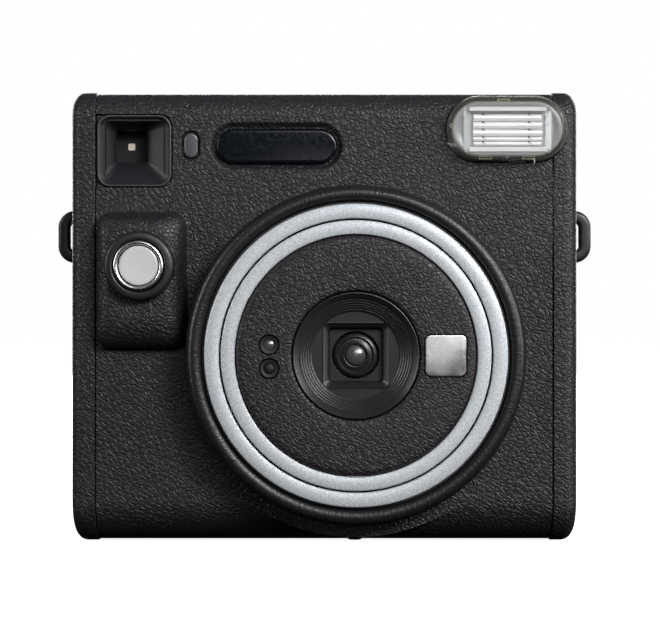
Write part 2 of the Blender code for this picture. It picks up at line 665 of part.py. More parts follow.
def gear(name, centre, teeth, phase, bore, look="white_plastic"):
    outline = [(centre[0] + y, centre[1] + z) for y, z in tooth_outline(teeth, phase)]
    made = prism(name, outline, "X", GEAR_X, look)
    if bore:
        subtract(made, rod(name + "_bore", centre, bore, (GEAR_X[0] - 2, GEAR_X[1] + 2), axis="X"))
    return made


def meshed(phase, teeth, way, other_teeth):
    """The phase of a gear that meshes with one of the given phase and teeth, that lies this way from it."""
    pitch = 2 * pi / teeth
    past = (way - phase) % pitch
    return way + pi + past * teeth / other_teeth + pi / other_teeth


def steps_from(start, way, teeth, other_teeth):
    apart = GEAR_MODULE * (teeth + other_teeth) / 2
    return (start[0] + apart * cos(way), start[1] + apart * sin(way))


def drive():
    front = (FILM_Y - ROLLER_APART / 2, ROLLER_Z)
    rear = (FILM_Y + ROLLER_APART / 2, ROLLER_Z)
    idler = steps_from(front, IDLER_WAY, ROLLER_TEETH, IDLER_TEETH)
    pinion = steps_from(idler, PINION_WAY, IDLER_TEETH, PINION_TEETH)
    front_phase = pi / 2
    rear_phase = meshed(front_phase, ROLLER_TEETH, 0.0, ROLLER_TEETH)
    for name, centre, phase in (("roller_front", front, front_phase), ("roller_rear", rear, rear_phase)):
        shaft, half = 1.25, ROLLER_RADIUS
        profile = [(shaft, -34.1), (shaft, ROLLER_ENDS[0]), (half, ROLLER_ENDS[0]), (half, ROLLER_ENDS[1]),
                   (shaft, ROLLER_ENDS[1]), (shaft, GEAR_X[1] + 0.4)]
        unite(turned(name, centre, profile, "steel", "X", 24), gear(name + "_gear", centre, ROLLER_TEETH, phase, 0))
    idler_phase = meshed(front_phase, ROLLER_TEETH, IDLER_WAY, IDLER_TEETH)
    gear("idler_gear", idler, IDLER_TEETH, idler_phase, 1.5)
    hang((0, *front), "roller_front")
    hang((0, *rear), "roller_rear")
    hang((GEAR_X[0], *idler), "idler_gear")
    pinion_phase = meshed(idler_phase, IDLER_TEETH, PINION_WAY, PINION_TEETH)
    small = gear("motor_pinion", pinion, PINION_TEETH, pinion_phase, 0)
    unite(small, rod("motor_shaft", pinion, 0.9, (49.6, GEAR_X[0] + 1), axis="X", count=12))
    hang((GEAR_X[0], *pinion), "motor_pinion")
    turned("drive_motor", pinion, [(5.2, 29.0), (5.7, 29.5), (5.7, 48.3), (2.0, 48.4), (2.0, 49.2)],
           "steel", "X", 24)
    bracket = box("roller_bracket", (-34.2, 1.5, 102.9), (49.8, 20.0, 112.6), "steel")
    subtract(bracket, box("bracket_room", (-33.0, 0, 100), (48.6, 18.9, 115)),
             *[rod(f"bracket_bore_{i}", c, 1.5, (-40, 55), axis="X") for i, c in enumerate((front, rear))])
    unite(bpy.data.objects["chassis"], rod("idler_stud", idler, 1.2, (49.0, 55.4), axis="X"))


def exit_flap():
    hinge = (12.35, 119.15)
    half = 0.45
    outline = [(hinge[0] + half * cos(a), hinge[1] + half * sin(a))
               for a in [radians(-90 + 30 * i) for i in range(7)]]
    outline += [(8.1, hinge[1] + half), (8.1, hinge[1] - half)]
    prism("exit_flap", outline, "X", (-29.6, 45.4), "black_plastic")
    hang((LENS_X, *hinge), "exit_flap")


# ---------------------------------------------------------------- doors, power and board

def film_door():
    door = box("film_door", (DOOR_X[0], DOOR_Y[0], DOOR_Z[0]), (DOOR_X[1] + 0.8, DOOR_Y[1], DOOR_Z[1]), "leatherette")
    barrel_z = (DOOR_Z[0] + KNUCKLE + 0.6, DOOR_Z[1] - KNUCKLE - 0.6)
    hinge = (HINGE_X, HINGE_Y)
    notches = [box(f"notch_{i}", (HINGE_X - HINGE_RADIUS - 0.5, 20, z0), (HINGE_X + 5, 35, z1)) for i, (z0, z1) in
               enumerate(((DOOR_Z[0] - 1, barrel_z[0]), (barrel_z[1], DOOR_Z[1] + 1)))]
    subtract(
        door,
        *notches,
        prism("window_hole", rounded((-14, 56), (9.6, 34.6), 1.6), "Y", (20, 35)),
        box("latch_recess", (-35.4, 26.7, 47.6), (-29.6, 35, 64.4)),
        box("latch_slot", (-33.8, 20, 49.4), (-31.2, 35, 62.6)),
    )
    unite(door, rod("door_barrel", hinge, HINGE_RADIUS, barrel_z, axis="Z"))
    subtract(door, rod("door_bore", hinge, 0.95, (0, HEIGHT), axis="Z"))
    prism("door_window", rounded((-14, 56), (9.0, 34.0), 1.3), "Y", (DOOR_Y[0] + 0.2, DOOR_Y[1] - 0.3), "clear_plastic")
    latch = box("door_latch", (-35.1, 27.0, 48.0), (-29.9, 29.3, 59.6), "black_plastic")
    unite(latch, box("latch_hook", (-33.3, 25.0, 50.0), (-31.7, 27.4, 57.4)))
    hang((*hinge, DOOR_Z[0]), "film_door", "door_window", "door_latch")


def power():
    hinge_x, hinge_y, half = -HALF_WIDTH + 0.85, POWER_DOOR_Y[1], 0.8
    outline = [(hinge_x + half * cos(a), hinge_y + half * sin(a)) for a in (radians(180 - 30 * i) for i in range(7))]
    outline += [(hinge_x + half, POWER_DOOR_Y[0]), (hinge_x - half, POWER_DOOR_Y[0])]
    prism("battery_door", outline, "Z", POWER_DOOR_Z, "black_plastic")
    hang((hinge_x, hinge_y, POWER_DOOR_Z[0]), "battery_door")
    for word, low in (("lower", 13.0), ("upper", 41.0)):
        profile = [(BATTERY_RADIUS - 0.3, low), (BATTERY_RADIUS, low + 0.4), (BATTERY_RADIUS, low + 26),
                   (BATTERY_RADIUS - 0.5, low + 26.4), (3.0, low + 26.4), (3.0, low + 27.4)]
        turned("battery_" + word, (BATTERY_X, BATTERY_Y), profile, "steel", "Z", 24)
    board = box("circuit_board", (-58.0, -9.5, 12.0), (-41.5, -8.0, 88.0), "board_green")
    blocks = (((-51.2, -12.0, 70.7), (-45.2, -9.0, 76.7)), ((-54.0, -11.0, 50.0), (-46.0, -9.0, 58.0)),
              ((-55.0, -11.6, 24.0), (-49.0, -9.0, 30.0)), ((-47.0, -8.5, 30.0), (-43.0, -5.5, 44.0)))
    unite(board, *[box(f"board_block_{i}", low, high) for i, (low, high) in enumerate(blocks)])


def counter():
    centre = (COUNTER_X, COUNTER_Z)
    turned("counter_dial", centre, [(1.1, 21.6), (1.1, 24.2), (8.0, 24.2), (8.0, 25.4)], "white_plastic", count=30)
    hang((COUNTER_X, 24.2, COUNTER_Z), "counter_dial")
    window = (COUNTER_X, COUNTER_Z + 4.2)
    rod("counter_window", window, 3.2, (BACK - 1.9, BACK - 0.2), "clear_plastic", count=24)


def main():
    for old in list(bpy.data.objects):
        bpy.data.objects.remove(old)
    front_cover()
    rear_cover()
    for side, word in ((-1, "left"), (1, "right")):
        side_cover("side_cover_" + word, side)
        strap_lug("strap_lug_" + word, side)
        case_screw("case_screw_" + word, side)
    feet()
    front_windows()
    viewfinder()
    flash()
    button()
    guide_tube()
    mode_ring()
    lens_barrel()
    shutter()
    chassis()
    film_pack()
    drive()
    exit_flap()
    film_door()
    power()
    counter()
    hang((LENS_X, FACE, LENS_Z), "ring_sleeve", "ring_grip", "ring_trim", "barrel_tube", "barrel_trim",
         "front_disc", "selfie_mirror", "meter_lenses", "lens_hood", "shutter_housing", "front_lens",
         "rear_lens")
    hang((BUTTON_X, BUTTON_FRONT, BUTTON_Z), "shutter_button")


main()
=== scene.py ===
"""Looks for the square-format instant camera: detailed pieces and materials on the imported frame.

Lengths are in millimetres unless a name says otherwise, and MM turns them into metres.
"""

import json
from math import cos, pi, radians, sin

import bmesh
import bpy
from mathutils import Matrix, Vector


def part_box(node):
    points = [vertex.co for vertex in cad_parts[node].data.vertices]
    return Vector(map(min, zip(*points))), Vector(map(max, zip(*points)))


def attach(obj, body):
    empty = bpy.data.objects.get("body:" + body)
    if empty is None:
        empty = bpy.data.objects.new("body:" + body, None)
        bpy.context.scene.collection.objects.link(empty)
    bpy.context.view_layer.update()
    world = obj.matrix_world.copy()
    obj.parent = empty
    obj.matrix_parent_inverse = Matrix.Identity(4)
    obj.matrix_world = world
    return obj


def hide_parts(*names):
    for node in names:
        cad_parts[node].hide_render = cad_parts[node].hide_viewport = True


MM = 0.001
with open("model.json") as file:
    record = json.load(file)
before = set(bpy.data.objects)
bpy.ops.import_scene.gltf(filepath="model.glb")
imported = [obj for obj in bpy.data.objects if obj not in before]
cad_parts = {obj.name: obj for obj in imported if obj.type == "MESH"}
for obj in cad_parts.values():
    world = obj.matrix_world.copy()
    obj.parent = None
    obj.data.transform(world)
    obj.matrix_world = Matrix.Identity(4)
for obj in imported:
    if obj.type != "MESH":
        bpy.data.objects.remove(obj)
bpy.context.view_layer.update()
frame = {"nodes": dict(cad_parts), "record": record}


def low(node):
    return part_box(node)[0] / MM


def high(node):
    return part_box(node)[1] / MM


def middle(node):
    return (low(node) + high(node)) / 2


# Bodies that most pieces ride on
CASE = "camera_body"
BARREL = "lens_barrel"

# Places that come from the frame
LENS = (middle("ring_trim").x, middle("ring_trim").z)
BUTTON = (middle("button_bezel").x, middle("button_bezel").z)
FACE = low("badge_plate").y + 0.5
BACK = high("film_door").y + 0.1
COVER_BOTTOM = low("front_cover").z
COVER_TOP = high("front_cover").z
SIDE_BOTTOM = low("side_cover_left").z
SIDE_TOP = high("side_cover_left").z
SEAM_X = low("side_cover_right").x
HALF_WIDTH = high("side_cover_right").x
SEAM_Y = (high("front_cover").y + low("rear_cover").y) / 2
SEAM_GAP = 0.3
WALL = 2.0
BOSS_RADIUS = 48.2
FLASH_HOLE = (32.5, 17.8)
BADGE_SHIFT = Vector((0.1, 0.0, -0.4))
COLLAR_HOLE = 9.1
FOOT_POCKET = (-1.0, 1.3)
CORNERS = (11.5, 6.0, 6.0, 6.5)


# ---------------------------------------------------------------- mesh tools

def raw(name, points, faces):
    mesh = bpy.data.meshes.new(name)
    mesh.from_pydata([Vector(p) * MM for p in points], [], faces)
    shape = bmesh.new()
    shape.from_mesh(mesh)
    bmesh.ops.recalc_face_normals(shape, faces=shape.faces)
    shape.to_mesh(mesh)
    shape.free()
    made = bpy.data.objects.new(name, mesh)
    bpy.context.scene.collection.objects.link(made)
    return made


def loft(name, loops, closed=False):
    """A skin over loops of equally many points: capped at both ends, or closed into a ring."""
    size = len(loops[0])
    faces = []
    for i in range(len(loops) if closed else len(loops) - 1):
        a, b = i * size, ((i + 1) % len(loops)) * size
        for j in range(size):
            k = (j + 1) % size
            faces.append((a + j, a + k, b + k, b + j))
    if not closed:
        faces.append(tuple(range(size - 1, -1, -1)))
        faces.append(tuple(range((len(loops) - 1) * size, len(loops) * size)))
    return raw(name, [p for loop in loops for p in loop], faces)


def place(outline, axis, at):
    if axis == "X":
        return [(at, u, v) for u, v in outline]
    if axis == "Y":
        return [(u, at, v) for u, v in outline]
    return [(u, v, at) for u, v in outline]


def prism(name, outline, axis, ends):
    return loft(name, [place(outline, axis, at) for at in ends])


def box(name, start, end):
    outline = [(start[0], start[1]), (end[0], start[1]), (end[0], end[1]), (start[0], end[1])]
    return prism(name, outline, "Z", (start[2], end[2]))


def circle(centre, radius, count):
    turn = 2 * pi / count
    return [(centre[0] + radius * cos(i * turn), centre[1] + radius * sin(i * turn)) for i in range(count)]


def rounded(centre, size, radius, steps=10):
    half_u, half_v = size[0] / 2 - radius, size[1] / 2 - radius
    points = []
    for corner, (su, sv) in enumerate(((1, 1), (-1, 1), (-1, -1), (1, -1))):
        for i in range(steps + 1):
            angle = (corner + i / steps) * pi / 2
            points.append((centre[0] + su * half_u + radius * cos(angle),
                           centre[1] + sv * half_v + radius * sin(angle)))
    return points


def capsule(centre, size, steps=16):
    return rounded(centre, size, min(size) / 2 - 0.005, steps)


def turned(name, centre, profile, axis="Y", count=96, closed=True):
    """A profile of (radius, place along the axis) turned about an axis through centre."""
    return loft(name, [place(circle(centre, r, count), axis, at) for r, at in profile], closed)


def rod(name, centre, radius, ends, axis="Y", count=48):
    return turned(name, centre, [(radius, ends[0]), (radius, ends[1])], axis, count, closed=False)


def plates(name, centre, sections, steps=10, closed=False):
    """A skin over rounded rectangles across Y, each given by its size, corner radius and y."""
    return loft(name, [place(rounded(centre, s, r, steps), "Y", y) for s, r, y in sections], closed)


def capsules(name, centre, sections):
    """A skin over capsules across Y, each given by its size and y."""
    return loft(name, [place(capsule(centre, s), "Y", y) for s, y in sections])


def arc(centre, radius, start, end, steps=6):
    """Profile points on an arc, in degrees."""
    return [(centre[0] + radius * cos(radians(start + (end - start) * i / steps)),
             centre[1] + radius * sin(radians(start + (end - start) * i / steps))) for i in range(steps + 1)]


def apply_modifiers(piece):
    graph = bpy.context.evaluated_depsgraph_get()
    old = piece.data
    piece.data = bpy.data.meshes.new_from_object(piece.evaluated_get(graph))
    piece.modifiers.clear()
    bpy.data.meshes.remove(old)


def cut(target, *cutters, operation="DIFFERENCE"):
    """An exact Boolean with each cutter, applied at once; the cutters are removed."""
    for cutter in cutters:
        modifier = target.modifiers.new("cut", "BOOLEAN")
        modifier.operation = operation
        modifier.solver = "EXACT"
        modifier.object = cutter
    apply_modifiers(target)
    for cutter in cutters:
        bpy.data.objects.remove(cutter)
    return target


def join(name, *pieces):
    """One object from several, keeping their shapes."""
    whole = bmesh.new()
    for piece in pieces:
        piece.data.transform(piece.matrix_world)
        whole.from_mesh(piece.data)
    mesh = bpy.data.meshes.new(name)
    whole.to_mesh(mesh)
    whole.free()
    for piece in pieces:
        bpy.data.objects.remove(piece)
    made = bpy.data.objects.new(name, mesh)
    bpy.context.scene.collection.objects.link(made)
    return made


def smooth_shade(mesh, angle):
    mesh.shade_smooth()
    mesh.set_sharp_from_angle(angle=radians(angle))


def dress(piece, body, look, stands_for=(), bevel=0.0, segments=2, smooth=35):
    """Soften a piece's edges, paint it and hang it on its body."""
    smooth_shade(piece.data, smooth)
    if bevel:
        modifier = piece.modifiers.new("soft edges", "BEVEL")
        modifier.width = bevel * MM
        modifier.segments = segments
        modifier.limit_method = "ANGLE"
        modifier.angle_limit = radians(smooth)
        modifier.harden_normals = True
        modifier.miter_outer = "MITER_ARC"
        apply_modifiers(piece)
    piece.data.materials.clear()
    piece.data.materials.append(LOOKS[look])
    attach(piece, body)
    if stands_for:
        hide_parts(*stands_for)
    return piece


# ---------------------------------------------------------------- materials

class Paint:
    """A node material with a Principled shader, and short ways to add nodes."""

    def __init__(self, name, colour, roughness, **sockets):
        self.material = bpy.data.materials.new(name)
        self.material.use_nodes = True
        self.nodes = self.material.node_tree.nodes
        self.links = self.material.node_tree.links
        self.shader = self.nodes["Principled BSDF"]
        self.shader.inputs["Base Color"].default_value = (*colour, 1)
        self.shader.inputs["Roughness"].default_value = roughness
        for key, value in sockets.items():
            self.shader.inputs[key.replace("_", " ")].default_value = value
        self.place = self.nodes.new("ShaderNodeTexCoord").outputs["Object"]

    def node(self, kind, inputs=(), **settings):
        made = self.nodes.new(kind)
        for key, value in settings.items():
            setattr(made, key, value)
        for key, value in dict(inputs).items():
            if isinstance(value, bpy.types.NodeSocket):
                self.links.new(value, made.inputs[key])
            else:
                made.inputs[key].default_value = value
        return made

    def noise(self, scale, detail=2.0, rough=0.5, where=None):
        return self.node("ShaderNodeTexNoise", {"Vector": where or self.place, "Scale": scale,
                                               "Detail": detail, "Roughness": rough}).outputs["Fac"]

    def stretched(self, factors):
        return self.node("ShaderNodeMapping", {"Vector": self.place, "Scale": factors}).outputs[0]

    def remap(self, value, low_in, high_in, low_out, high_out, smooth=False):
        made = self.node("ShaderNodeMapRange", {"Value": value, "From Min": low_in, "From Max": high_in,
                                               "To Min": low_out, "To Max": high_out})
        made.interpolation_type = "SMOOTHSTEP" if smooth else "LINEAR"
        return made.outputs[0]

    def sums(self, a, b, operation="ADD"):
        return self.node("ShaderNodeMath", {0: a, 1: b}, operation=operation).outputs[0]

    def between(self, dark, light, value):
        ramp = self.node("ShaderNodeValToRGB", {"Fac": value})
        ramp.color_ramp.elements[0].color = (*dark, 1)
        ramp.color_ramp.elements[1].color = (*light, 1)
        return ramp.outputs["Color"]

    def colour(self, socket):
        self.links.new(socket, self.shader.inputs["Base Color"])

    def rough(self, socket):
        self.links.new(socket, self.shader.inputs["Roughness"])

    def bump(self, height, depth, strength=1.0):
        made = self.node("ShaderNodeBump", {"Height": height, "Strength": strength, "Distance": depth * MM})
        self.links.new(made.outputs[0], self.shader.inputs["Normal"])


def leather(name, colour, pebble=1.05, depth=0.11, shine=0.42, light=1.15):
    """Moulded leather grain: flat pebbles, longer than high, slanting, with narrow creases between; painted
    shade darkens the creases and the pebble tops are painted lighter.
    """
    paint = Paint(name, colour, shine)
    slanted = paint.node("ShaderNodeMapping", {"Vector": paint.place,
                                               "Rotation": (0.2, -0.45, 0.0)}).outputs[0]
    grain = paint.node("ShaderNodeMapping", {"Vector": slanted, "Scale": (0.62, 0.55, 1.0)}).outputs[0]
    drift = paint.node("ShaderNodeTexNoise", {"Vector": grain, "Scale": 420.0, "Detail": 2.0})
    offset = paint.node("ShaderNodeVectorMath", {0: drift.outputs["Color"], 1: (0.5, 0.5, 0.5)},
                        operation="SUBTRACT")
    scaled = paint.node("ShaderNodeVectorMath", {0: offset.outputs[0], "Scale": 0.0013}, operation="SCALE")
    warped = paint.node("ShaderNodeVectorMath", {0: grain, 1: scaled.outputs[0]}, operation="ADD").outputs[0]
    cells = paint.node("ShaderNodeTexVoronoi", {"Vector": warped, "Scale": 1000.0 / pebble,
                                                "Randomness": 0.9},
                       feature="DISTANCE_TO_EDGE").outputs["Distance"]
    pebbles = paint.remap(cells, 0.0, 0.2, 0.0, 1.0, smooth=True)
    fine = paint.noise(2300.0, 2.0)
    patches = paint.noise(95.0, 2.0)
    height = paint.sums(paint.sums(pebbles, paint.remap(patches, 0.3, 0.7, 0.75, 1.15), "MULTIPLY"),
                        paint.remap(fine, 0.3, 0.7, 0.0, 0.22))
    paint.bump(height, depth)
    # Colour is painted shade and light: the creases are painted down to 0.35 of the leather colour, and the
    # pebble tops are painted lighter, up to `light` times it.
    paint.colour(paint.between(tuple(c * 0.35 for c in colour), tuple(c * light for c in colour), pebbles))
    paint.rough(paint.remap(paint.sums(pebbles, fine, "MULTIPLY"), 0.0, 0.7, shine + 0.16, shine - 0.04))
    return paint.material


def ring_leather(name, colour, shine):
    """Fine creases that run across the ring, in polar coordinates about the lens; their hollows are painted
    darker as shade and their crests lighter as highlight.
    """
    paint = Paint(name, colour, shine)
    parts = paint.node("ShaderNodeSeparateXYZ", {"Vector": paint.place})
    x = paint.sums(parts.outputs["X"], LENS[0] * MM, "SUBTRACT")
    z = paint.sums(parts.outputs["Z"], LENS[1] * MM, "SUBTRACT")
    angle = paint.sums(z, x, "ARCTAN2")
    radius = paint.node("ShaderNodeVectorMath", {0: paint.node("ShaderNodeCombineXYZ",
                                                               {"X": x, "Y": z}).outputs[0]},
                        operation="LENGTH").outputs["Value"]
    polar = paint.node("ShaderNodeCombineXYZ", {
        "X": paint.sums(angle, 0.044, "MULTIPLY"),
        "Y": paint.sums(radius, 0.3, "MULTIPLY"),
        "Z": paint.sums(parts.outputs["Y"], 0.3, "MULTIPLY")}).outputs[0]
    creases = paint.noise(1500.0, 2.0, 0.5, polar)
    fine = paint.noise(2300.0, 2.0)
    paint.bump(paint.sums(creases, paint.remap(fine, 0.3, 0.7, 0.0, 0.2)), 0.11)
    # Painted shade and highlight: the colour follows the crease height, darker in the hollows and lighter on
    # the crests.
    paint.colour(paint.between(tuple(c * 0.6 for c in colour), tuple(c * 1.4 for c in colour),
                               paint.remap(creases, 0.35, 0.65, 0.0, 1.0)))
    paint.rough(paint.remap(creases, 0.3, 0.7, shine + 0.08, shine - 0.06))
    return paint.material


def moulded(name, colour, roughness, grain=3200.0, depth=0.02, metallic=0.0, **sockets):
    """Fine-textured moulded plastic."""
    paint = Paint(name, colour, roughness, Metallic=metallic, **sockets)
    fine = paint.noise(grain, 2.0)
    wide = paint.noise(60.0, 3.0)
    paint.colour(paint.between(tuple(c * 0.85 for c in colour), tuple(c * 1.12 for c in colour), wide))
    paint.rough(paint.remap(fine, 0.3, 0.7, max(roughness - 0.06, 0.02), roughness + 0.08))
    paint.bump(fine, depth)
    return paint.material


def metallic_paint(name, colour, roughness, metallic, spread=0.14, flake=2400.0):
    """Silver paint with fine flakes."""
    paint = Paint(name, colour, roughness, Metallic=metallic)
    flakes = paint.noise(flake, 1.0, 0.7)
    value = paint.remap(flakes, 0.32, 0.68, 0.0, 1.0)
    paint.colour(paint.between(tuple(c * (1 - spread) for c in colour),
                               tuple(min(c * (1 + spread), 1) for c in colour), value))
    paint.rough(paint.remap(flakes, 0.3, 0.7, roughness + 0.08, roughness - 0.08))
    paint.bump(flakes, 0.012)
    return paint.material


def brushed(name, colour, roughness, stretch=(1, 40, 40)):
    paint = Paint(name, colour, roughness, Metallic=1.0)
    lines = paint.noise(140.0, 3.0, 0.6, paint.stretched(stretch))
    paint.colour(paint.between(tuple(c * 0.82 for c in colour), colour, lines))
    paint.rough(paint.remap(lines, 0.3, 0.7, roughness - 0.07, roughness + 0.1))
    paint.bump(lines, 0.002)
    return paint.material


def clear(name, colour, roughness, face, edge):
    """Clear plastic or glass: thin where it faces the eye and denser at its edges."""
    paint = Paint(name, colour, roughness)
    wave = paint.noise(180.0, 2.0)
    paint.bump(wave, 0.006)
    paint.colour(paint.between(tuple(c * 0.94 for c in colour), colour, wave))
    facing = paint.node("ShaderNodeLayerWeight", {"Blend": 0.35}).outputs["Facing"]
    paint.links.new(paint.remap(facing, 0.0, 0.9, face, edge), paint.shader.inputs["Alpha"])
    return paint.material


LOOKS = {
    "leatherette": leather("leatherette", (0.0098, 0.0094, 0.0124)),
    "disc_leather": leather("disc_leather", (0.0098, 0.0072, 0.0102), pebble=0.95, depth=0.1),
    "ring_leather": ring_leather("ring_leather", (0.008, 0.008, 0.0095), 0.38),
    "black_plastic": moulded("black_plastic", (0.013, 0.013, 0.0145), 0.42),
    "inner_black": moulded("inner_black", (0.004, 0.004, 0.005), 0.6),
    "soft_black": moulded("soft_black", (0.012, 0.012, 0.0135), 0.38, depth=0.01),
    "finder_black": moulded("finder_black", (0.0105, 0.0115, 0.0135), 0.44, grain=4200.0, depth=0.015),
    "hood_black": moulded("hood_black", (0.016, 0.0155, 0.018), 0.33, grain=5200.0, depth=0.006),
    "gloss_black": moulded("gloss_black", (0.0035, 0.0048, 0.0072), 0.17, grain=900.0, depth=0.002,
                           Specular_IOR_Level=0.3),
    "silver_trim": metallic_paint("silver_trim", (0.52, 0.55, 0.58), 0.45, 0.25, 0.24, 3400.0),
    "button_silver": metallic_paint("button_silver", (0.6, 0.6, 0.615), 0.42, 0.25, 0.07, 3400.0),
    "polished_metal": brushed("polished_metal", (0.8, 0.8, 0.81), 0.22, (1, 1, 1)),
    "mirror": brushed("mirror", (0.86, 0.86, 0.86), 0.26, (1, 1, 1)),
    "clear_plastic": clear("clear_plastic", (0.95, 0.96, 0.93), 0.06, 0.05, 0.5),
    "rim_plastic": clear("rim_plastic", (0.33, 0.33, 0.29), 0.12, 0.1, 0.55),
    "smoked": clear("smoked", (0.05, 0.045, 0.035), 0.08, 0.75, 0.95),
    "lens_glass": moulded("lens_glass", (0.035, 0.036, 0.041), 0.16, grain=700.0, depth=0.001,
                          Coat_Weight=1.0, Coat_Roughness=0.04),
    "finder_glass": clear("finder_glass", (0.05, 0.055, 0.06), 0.05, 0.15, 0.6),
    # finder_light glows: painted light that stands in for the light seen through the viewfinder.
    "finder_light": moulded("finder_light", (0.8, 0.74, 0.62), 0.4, grain=1500.0, depth=0.003,
                            Emission_Color=(1.0, 0.9, 0.74, 1.0), Emission_Strength=0.45),
    "reflector": moulded("reflector", (0.93, 0.93, 0.92), 0.16, grain=1200.0, depth=0.004, metallic=0.25),
    "reflector_side": moulded("reflector_side", (0.55, 0.57, 0.585), 0.2, grain=900.0, depth=0.012,
                              metallic=0.35),
    "flash_dark": moulded("flash_dark", (0.1, 0.1, 0.1), 0.3, depth=0.004),
    "flash_tint": moulded("flash_tint", (0.42, 0.41, 0.26), 0.25, depth=0.004),
    "lens_coating": moulded("lens_coating", (0.17, 0.17, 0.18), 0.27, grain=500.0, depth=0.001, metallic=0.6,
                            Coat_Weight=1.0, Coat_Roughness=0.1),
    "lip_grey": moulded("lip_grey", (0.05, 0.052, 0.056), 0.4, depth=0.004),
    "mark_grey": moulded("mark_grey", (0.2, 0.2, 0.205), 0.4, depth=0.004),
    "flash_grey": moulded("flash_grey", (0.24, 0.25, 0.25), 0.3, depth=0.004),
    "grey_plastic": moulded("grey_plastic", (0.062, 0.066, 0.073), 0.3, depth=0.003, Coat_Weight=0.3),
    "white_plastic": moulded("white_plastic", (0.72, 0.72, 0.69), 0.45),
    "steel": brushed("steel", (0.5, 0.5, 0.51), 0.32),
    "rubber": moulded("rubber", (0.016, 0.016, 0.0165), 0.68, grain=1800.0, depth=0.03),
    "board_green": moulded("board_green", (0.01, 0.09, 0.035), 0.4, grain=500.0, depth=0.01),
    "film_white": moulded("film_white", (0.78, 0.77, 0.74), 0.5, grain=700.0, depth=0.004),
}


# ---------------------------------------------------------------- body covers

def outline_part(inset, bottom, top, front, steps=14):
    """The front or back half of the body's side view, as (y, z), shrunk by inset, ending at the seam."""
    y0, y1, z0, z1 = FACE + inset, BACK - inset, bottom + inset, top - inset
    radius = [max(r - inset, 0.6) for r in CORNERS]
    split = SEAM_Y - SEAM_GAP / 2 if front else SEAM_Y + SEAM_GAP / 2
    if front:
        points = [(split, z1)] + arc((y0 + radius[3], z1 - radius[3]), radius[3], 90, 180, steps)
        return points + arc((y0 + radius[0], z0 + radius[0]), radius[0], 180, 270, steps) + [(split, z0)]
    points = [(split, z0)] + arc((y1 - radius[1], z0 + radius[1]), radius[1], -90, 0, steps)
    return points + arc((y1 - radius[2], z1 - radius[2]), radius[2], 0, 90, steps) + [(split, z1)]


def c_shell(name, front):
    outer = outline_part(0, COVER_BOTTOM, COVER_TOP, front)
    inner = outline_part(WALL, COVER_BOTTOM, COVER_TOP, front)
    return prism(name, outer + inner[::-1], "X", (-SEAM_X + SEAM_GAP, SEAM_X - SEAM_GAP))


def whole_outline(inset, bottom, top, steps=14):
    y0, y1, z0, z1 = FACE + inset, BACK - inset, bottom + inset, top - inset
    radius = [max(r - inset, 0.6) for r in CORNERS]
    points = arc((y0 + radius[3], z1 - radius[3]), radius[3], 90, 180, steps)
    points += arc((y0 + radius[0], z0 + radius[0]), radius[0], 180, 270, steps)
    points += arc((y1 - radius[1], z0 + radius[1]), radius[1], -90, 0, steps)
    return points + arc((y1 - radius[2], z1 - radius[2]), radius[2], 0, 90, steps)


def rim(name, centre, size, outward, depth):
    """The edge of a capsule recess: it leaves the face softly and runs down to the recess floor."""
    sections = []
    for i in range(11):
        share = i / 10
        sections.append((outward * (1 - share), FACE + depth * share ** 2 * (3 - 2 * share)))
    sections += [(-0.1, FACE + depth + 0.02), (-0.1, FACE + depth + 0.6), (outward, FACE + depth + 0.6)]
    loops = [place(capsule(centre, (size[0] + 2 * grow, size[1] + 2 * grow), 20), "Y", y)
             for grow, y in sections]
    return dress(loft(name, loops, closed=True), CASE, "leatherette", smooth=50)


def front_skin():
    skin = c_shell("front_skin", True)
    boss = rod("boss", LENS, BOSS_RADIUS, (FACE + 0.05, -7.0), count=160)
    cut(skin, boss, operation="UNION")
    bezel = middle("viewfinder_bezel")
    badge = middle("badge_plate") + BADGE_SHIFT
    window = middle("flash_sensor_window")
    flash = middle("flash_window")
    badge_rim, window_rim = 1.7, 0.5
    badge_seat, window_seat = (32.4, 9.7), (4.2, 7.2)
    index = (LENS[0] - 0.15, LENS[1] + 44.5)
    cut(
        skin,
        rod("bore", LENS, 42.0, (FACE - 6, 0), count=160),
        prism("finder_cut", rounded((bezel.x - 4, bezel.z), (28.4, 19.5), 3.5), "Y", (FACE - 3, FACE + 1)),
        prism("finder_cut_2", rounded((bezel.x, bezel.z), (16.6, 16.6), 1.0), "Y", (FACE - 3, -10)),
        prism("window_cut",
              capsule((window.x, window.z), tuple(v + 2 * window_rim - 0.1 for v in window_seat)),
              "Y", (FACE - 3, -10)),
        prism("badge_cut",
              capsule((badge.x, badge.z), tuple(v + 2 * badge_rim - 0.1 for v in badge_seat), 20),
              "Y", (FACE - 3, FACE + 1.9)),
        prism("flash_cut", capsule((flash.x, flash.z), FLASH_HOLE), "Y", (FACE - 8, -6)),
        rod("collar_cut", BUTTON, COLLAR_HOLE, (-30, -10), count=64),
        rod("foot_cut", (LENS[0], middle("foot_front").y), 2.3, FOOT_POCKET, "Z"),
        box("index_cut", (index[0], FACE - 1, index[1]), (index[0] + 0.35, FACE + 0.4, index[1] + 1.7)),
    )
    dress(skin, CASE, "leatherette", ["front_cover"], bevel=0.28, segments=3)
    rim("badge_rim", (badge.x, badge.z), badge_seat, badge_rim, 1.1)
    rim("window_rim", (window.x, window.z), window_seat, window_rim, 0.7)


